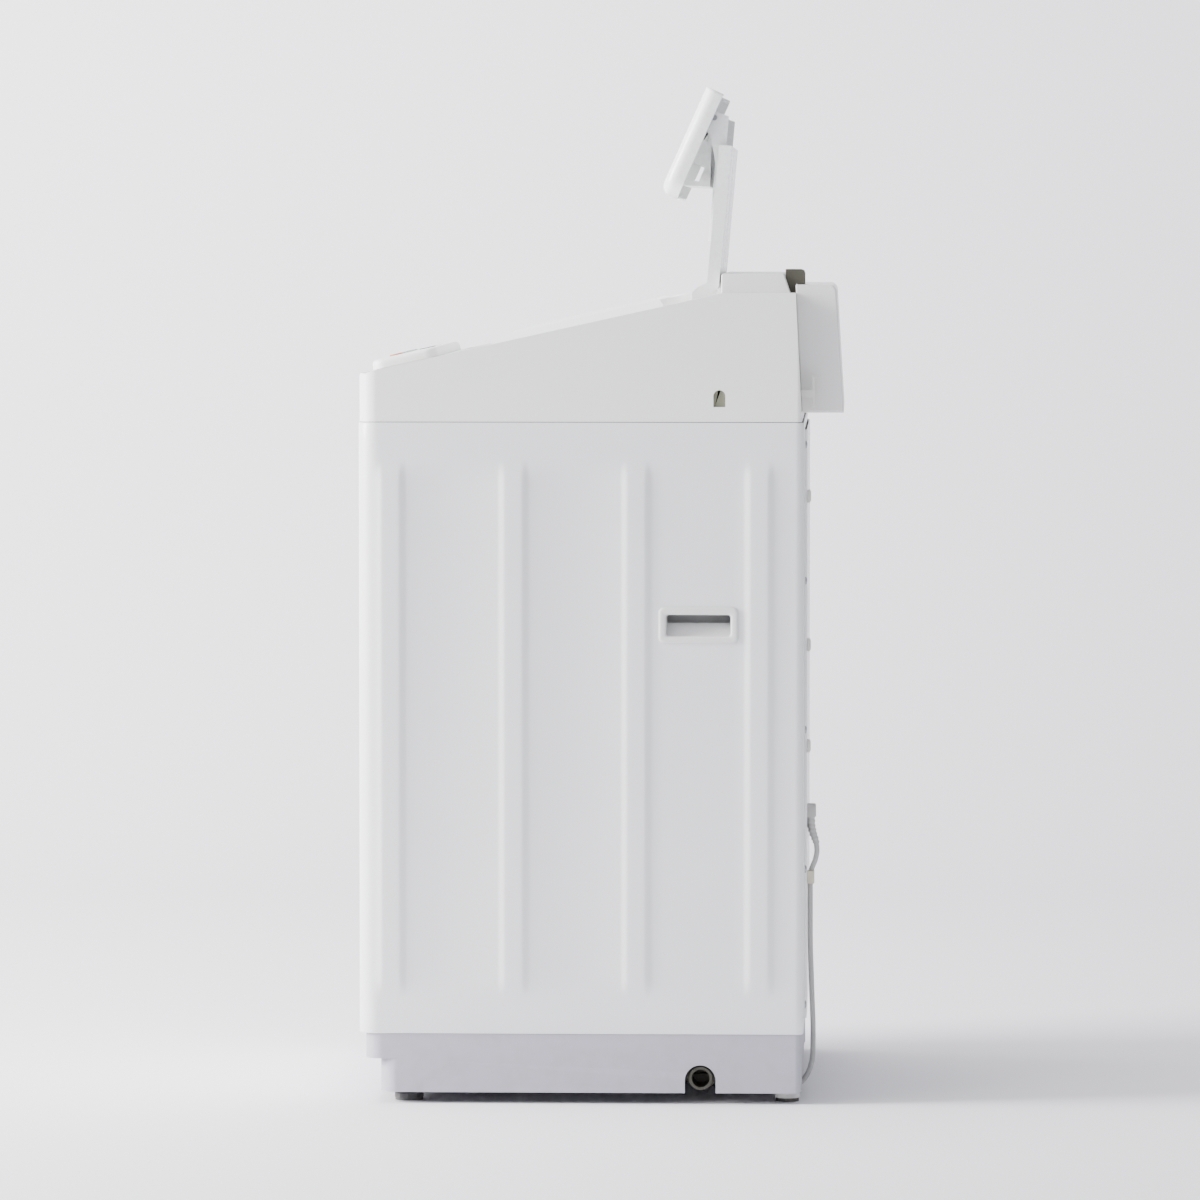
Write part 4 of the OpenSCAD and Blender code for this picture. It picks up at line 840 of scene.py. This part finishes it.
def lid_front_shell():
    arch = [math.radians(90 * i / 8) for i in range(9)]
    outer = [(SHOULDER * (1 - math.cos(a)), LID_TOP - SHOULDER + SHOULDER * math.sin(a)) for a in arch]
    reach = SHOULDER - SKIN
    inner = [(SKIN + reach * (1 - math.cos(a)), LID_TOP - SHOULDER + reach * math.sin(a)) for a in arch]
    rings = [lid_plan(m, z, SKIN) for m, z in reversed(inner)]
    rings += [lid_plan(SKIN, LID_LOW + 0.4, SKIN), lid_plan(SKIN - 0.4, LID_LOW, SKIN - 0.4),
              lid_plan(0.5, LID_LOW, 0.4), lid_plan(0, LID_LOW + 0.5)]
    rings += [lid_plan(m, z, 0) for m, z in outer[:-1]] + [lid_plan(SHOULDER, LID_TOP, 0.6)]
    rings += [lid_plan(m, LID_TOP + rise, 6 * rise + 0.6)
              for m, rise in ((20, 0.25), (34, 0.45), (52, 0.6))]
    shape = Shape()
    shape.loft(rings)
    made = make("lid_front_shell", shape, materials["lid_white"], angle=40)
    notches = [box_shape(FRONT, (-LINER_NOTCH, 23.4, -1), (LINER_NOTCH, 29, 9.9))]
    notches += [box_shape(FRONT, (x - ARM_NOTCH, 23.4, -1), (x + ARM_NOTCH, 29, 16.6))
                for x in (-ARM_AT, ARM_AT)]
    cut(made, notches, 40)
    return place(made, "lid_front", ["lid_front_panel"])


def hinge_ear(name, x0, x1):
    """A bracket under the skin with the fold pin's bore."""
    outline = [(-9.5, 19), (-8.8, 12), (-7.6, 4), (-6.6, -2), (-5.0, -5.4), (-2.6, -7.1), (0, -7.6),
               (2.6, -7.1), (5.0, -5.4), (6.6, -2), (7.6, 4), (8.8, 12), (9.5, 19)]
    hole = []
    for y, z in outline:
        reach = math.hypot(y, z)
        hole.append((FOLD_BORE * y / reach, FOLD_BORE * z / reach))
    rings = [[FRONT(x, y, z) for y, z in ring]
             for x, ring in ((x0, hole), (x0, outline), (x1, outline), (x1, hole), (x0, hole))]
    shape = Shape()
    shape.loft(rings, ends=(False, False))
    made = make(name, shape, materials["lid_white"], angle=40)
    rounding(made, 0.5, 2)
    return place(made, "lid_front")


lid_front_shell()
hinge_ear("lid_front_ear_right", 177, 186)
hinge_ear("lid_front_ear_left", -186, -177)


# ---- Control panel ----
SLOPE, SLOPE_TOP_Y, SLOPE_TOP_Z = 12.5, 151.0, 868.3
FASCIA_AT = -189.5
FASCIA_RISE = 10.5
FASCIA_X, FASCIA_Y, FASCIA_R = 225.0, 36.0, 14.0
BUTTON_X0, BUTTON_PITCH, BUTTONS = -125.0, 50.0, 6
POST_X, POST_Y = 158.0, 20.0
FASCIA = local_frame((FASCIA_AT, SLOPE_TOP_Z - (SLOPE_TOP_Y - FASCIA_AT) * math.tan(math.radians(SLOPE))),
                     SLOPE)


def control_fascia():
    """A plate with a soft rim, cut for the buttons."""
    def outline(inset, z):
        x, y = FASCIA_X - inset, FASCIA_Y - inset
        return [FASCIA(px, py, z) for px, py in rounded(-x, -y, x, y, max(FASCIA_R - inset, 2), 8)]
    rings = [outline(3.2, 6.9), outline(3, 0.6), outline(2.6, 0.2), outline(0.3, 0.2), outline(0, 0.5),
             outline(0.1, 4.5), outline(0.7, 7.2), outline(1.9, 9.0), outline(3.6, 10.0),
             outline(5.6, 10.4),
             outline(7.5, FASCIA_RISE)]
    shape = Shape()
    shape.loft(rings)
    made = make("control_fascia_plate", shape, materials["cover_white"], angle=40)
    holes = []
    for i in range(BUTTONS):
        middle = BUTTON_X0 + BUTTON_PITCH * i
        hole = Shape()
        hole.loft([[FASCIA(x, y, z) for x, y in rounded(middle - 13.4, -21.4, middle + 13.4, -6.6, 5.4, 6)]
                   for z in (5, 13)])
        holes.append(hole)
    cut(made, holes, 40)
    rounding(made, 0.5, 2, 40)
    return place(made, "root", ["control_fascia"])


def fascia_pegs():
    """Screw posts under the fascia."""
    shape = Shape()
    profile = [(3, -9), (3, 5), (4.2, 7.2)]
    for x in (-POST_X, POST_X):
        for y in (-POST_Y, POST_Y):
            shape.loft([[FASCIA(x + r * math.cos(a), y + r * math.sin(a), z)
                         for a in (2 * math.pi * k / 20 for k in range(20))] for r, z in profile])
    made = make("control_fascia_posts", shape, materials["cover_white"], angle=50)
    return place(made, "root")


def lamp_row():
    """Three small indicator lamps over each button."""
    shape = Shape()
    for i in range(BUTTONS):
        for k in range(3):
            x = BUTTON_X0 + BUTTON_PITCH * i + (k - 1) * 7
            shape.loft([[FASCIA(x + r * math.cos(a), -1.5 + r * math.sin(a), z)
                         for a in (2 * math.pi * n / 16 for n in range(16))]
                        for r, z in ((1.3, 10.1), (1.3, 10.6), (1.1, 10.9), (0.6, 11.05))])
    made = make("indicator_lamps", shape, materials["lamp_green"], angle=60)
    return place(made, "root")


control_fascia()
fascia_pegs()
lamp_row()


# ---- Wash basket: pressed drum with holes and ribs ----
BASKET_R, BASKET_Z0, BASKET_Z1 = 200.0, 286.0, 652.0
BASKET_SIDES, BASKET_ROWS = 144, 30
HOLE_RIM, DRUM_SHEET, RIB_SPACING = 1.9, 0.8, 12


def basket_drum():
    """A thin drum whose wall has rows of pressed holes between upright ribs."""
    step = 2 * math.pi / BASKET_SIDES
    levels = [BASKET_Z0, BASKET_Z0 + 6, BASKET_Z0 + 16, BASKET_Z0 + 26]
    pitch = (BASKET_Z1 - 30 - levels[-1]) / BASKET_ROWS
    levels += [levels[-1] + pitch * (k + 1) for k in range(BASKET_ROWS)]
    levels += [BASKET_Z1 - 18, BASKET_Z1 - 8, BASKET_Z1 - 1.5]

    def radius(i, z):
        rib = 0.5 + 0.5 * math.cos(2 * math.pi * i / RIB_SPACING)
        rise = smoothstep((z - BASKET_Z0 - 20) / 22) * smoothstep((BASKET_Z1 - 24 - z) / 22)
        return BASKET_R - 0.8 - 3.4 * rise * rib ** 3

    shape = Shape()
    rings = [[point(radius(i, z) * math.cos(i * step), radius(i, z) * math.sin(i * step), z)
              for i in range(BASKET_SIDES)] for z in levels]
    shape.loft(rings, ends=(False, False))
    made = make("basket_drum", shape, materials["basket_steel"], angle=50)
    mesh = made.data
    bm = bmesh.new()
    bm.from_mesh(mesh)
    holes = []
    for face in bm.faces:
        middle = face.calc_center_median() / MM
        a = math.atan2(middle.y - MID_Y, middle.x)
        column = int(a / step % BASKET_SIDES)
        row = int((middle.z - levels[3]) / pitch)
        if (levels[3] < middle.z < levels[3] + BASKET_ROWS * pitch
                and column % RIB_SPACING not in (0, RIB_SPACING - 1) and (column + row) % 2 == 0):
            holes.append(face)
    bmesh.ops.inset_individual(bm, faces=holes, thickness=HOLE_RIM * MM, use_even_offset=True)
    bmesh.ops.delete(bm, geom=holes, context="FACES")
    bm.to_mesh(mesh)
    bm.free()
    shade(mesh, 50)
    sheet = made.modifiers.new("sheet", "SOLIDIFY")
    sheet.thickness = DRUM_SHEET * MM
    sheet.offset = 0
    settle(made, 50)
    return place(made, "basket_unit", ["basket"])


basket_drum()


# ---- Pulsator: a dished disc with four fins ----
PULSATOR_Z = 303.0
PULSATOR_RADII = (6, 10, 15, 20, 24, 30, 38, 46, 54, 62, 70, 78, 86, 94, 102, 110, 118, 126, 132, 138,
                  144, 148, 150)
PULSATOR_PROFILE = ((0, 40), (24, 38), (38, 30), (70, 14), (138, 9), (150, 5))


def pulsator_disc():
    sides = 180

    def top(r, a):
        for (r0, z0), (r1, z1) in zip(PULSATOR_PROFILE, PULSATOR_PROFILE[1:]):
            if r <= r1:
                base = z0 + (z1 - z0) * smoothstep((r - r0) / (r1 - r0))
                break
        across = abs(math.sin(2 * a)) * r / 2
        fin = smoothstep((8.5 - across) / 5.5) * smoothstep((r - 16) / 12) * smoothstep((140 - r) / 22)
        crest = max(0.0, 33.5 - 0.145 * r)
        return max(base, base + (max(crest, base) - base) * fin)

    angles = [2 * math.pi * k / sides for k in range(sides)]
    under = ((12, 1.5), (60, 1.5), (146, 2.2), (150, 1.0))
    rings = [[point(r * math.cos(a), r * math.sin(a), PULSATOR_Z + z) for a in angles] for r, z in under]
    rings += [[point(r * math.cos(a), r * math.sin(a), PULSATOR_Z + top(r, a)) for a in angles]
              for r in reversed(PULSATOR_RADII)]
    shape = Shape()
    shape.loft(rings, ends=(False, False))
    made = make("pulsator_disc", shape, materials["pulsator_blue"], angle=50)
    return place(made, "pulsator_unit", ["pulsator"])


pulsator_disc()


# ---- Back panel screws, a dark strip painting the shadow in the cover's seam, and the catches seen through the side holes, coloured as painted shade ----
CATCH_Y, CATCH_Z = (140.5, 155.5), (745.5, 767.0)
SCREW_Z = (104, 250, 400, 560, 706)
SCREW_PROFILE = ((4.2, 0.0), (4.2, 0.6), (3.6, 1.4), (2.4, 1.9), (1.2, 2.1), (0.7, 1.3))


def screw_heads():
    """Domed, dimpled heads along the back panel's edges."""
    low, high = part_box("back_panel")
    shape = Shape()
    x = high.x / MM - 6
    for side in (-1, 1):
        for z in SCREW_Z:
            centre = (side * x, high.y / MM - MID_Y - 2.0)
            rings = []
            for r, out in SCREW_PROFILE:
                rings.append([point(centre[0] + r * math.cos(a), centre[1] + out, z + r * math.sin(a))
                              for a in (2 * math.pi * k / 24 for k in range(24))])
            shape.loft(rings)
    made = make("back_panel_screws", shape, materials["steel"], angle=50)
    return place(made, "root")


def cover_seam_painted_shadow():
    """A dark strip in the groove where the top cover sits on the cabinet: painted shadow for the seam's
    dark line.
    """
    section = ((3, -0.9), (1.1, -0.9), (0.75, 0), (1.1, 0.9), (3, 0.9), (3, -0.9))
    rings = [cabinet_ring(m, CAB_Z1 + z, ribs=False) for m, z in section]
    shape = Shape()
    shape.loft(rings, ends=(False, False))
    made = make("cover_seam_painted_shadow", shape, materials["seam_shadow_dark"], angle=60)
    return place(made, "root")


def side_catches():
    """Catches inside the arched holes, coloured olive-grey as painted shade for the holes' unlit inside.
    """
    shape = Shape()
    for side in (-1, 1):
        rings = []
        for inset, x in ((0, HALF_W - 9.5), (0, HALF_W - 4.6), (0.5, HALF_W - 4.0), (2.0, HALF_W - 3.6)):
            ring = []
            for y, z in rounded(CATCH_Y[0] + inset, CATCH_Z[0] + inset, CATCH_Y[1] - inset,
                                CATCH_Z[1] - inset, [1.5, 1.5, 6.9, 6.9], 5):
                ring.append(point(side * x, y, z))
            rings.append(ring)
        shape.loft(rings)
    made = make("cover_catches", shape, materials["hole_shade_olive"], angle=40)
    return place(made, "root")


screw_heads()
cover_seam_painted_shadow()
side_catches()


# ---- Stage, in metres ----
COVE_X, COVE_R, WALL_TOP, STAGE_FRONT, STAGE_Y = -2.2, 1.2, 7.0, 9.0, (-9.0, 2.6)


def flat_material(name, rgb, rough):
    made, tree, shader = material(name)
    where = tree.nodes.new("ShaderNodeTexCoord").outputs["Object"]
    slow = add_noise(tree, where, 0.8, 2.0)
    tone = add_mix(tree, add_range(tree, slow, 0, 1), tuple(c * 0.985 for c in linear(rgb)), linear(rgb))
    tree.links.new(tone, shader.inputs["Base Color"])
    shader.inputs["Roughness"].default_value = rough
    return made


def add_stage():
    """A pale floor that curves up into a pale wall on the machine's left."""
    shape = Shape()
    profile = [(STAGE_FRONT, 0), (COVE_X, 0)]
    profile += [(COVE_X - COVE_R * math.sin(a), COVE_R - COVE_R * math.cos(a))
                for a in (math.radians(d) for d in range(6, 91, 6))]
    profile += [(COVE_X - COVE_R, WALL_TOP)]
    rings = [[Vector((x, y, z)) for x, z in profile] for y in STAGE_Y]
    made = [shape.ring(r) for r in rings]
    shape.bridge(made[0], made[1], closed=False)
    floor = make("studio_floor", shape, flat_material("studio_paint", (243, 242, 246), 0.8), angle=60)


def add_light(name, at, aim, size, power):
    data = bpy.data.lights.new(name, "AREA")
    data.shape = "RECTANGLE"
    data.size, data.size_y = size
    data.energy = power
    light = bpy.data.objects.new(name, data)
    light.location = at
    light.rotation_mode = "QUATERNION"
    light.rotation_quaternion = (Vector(aim) - Vector(at)).to_track_quat("-Z", "Y")
    bpy.context.scene.collection.objects.link(light)


def add_lighting():
    world = bpy.data.worlds.new("studio")
    world.use_nodes = True
    background = world.node_tree.nodes["Background"]
    background.inputs["Color"].default_value = (0.93, 0.95, 1.0, 1)
    background.inputs["Strength"].default_value = 0.76
    bpy.context.scene.world = world
    add_light("key", (0.7, -3.5, 1.7), (0, 0, 0.5), (1.4, 2.0), 500)
    add_light("window", (2.6, -2.8, 2.6), (0, 0, 0.3), (1.8, 1.8), 60)
    add_light("top", (-0.2, -0.7, 3.4), (0, -0.2, 0.8), (1.6, 1.6), 50)
    add_light("wall", (-1.2, -2.6, 1.8), (-3.4, -1.2, 1.0), (1.6, 2.4), 90)


add_stage()
add_lighting()
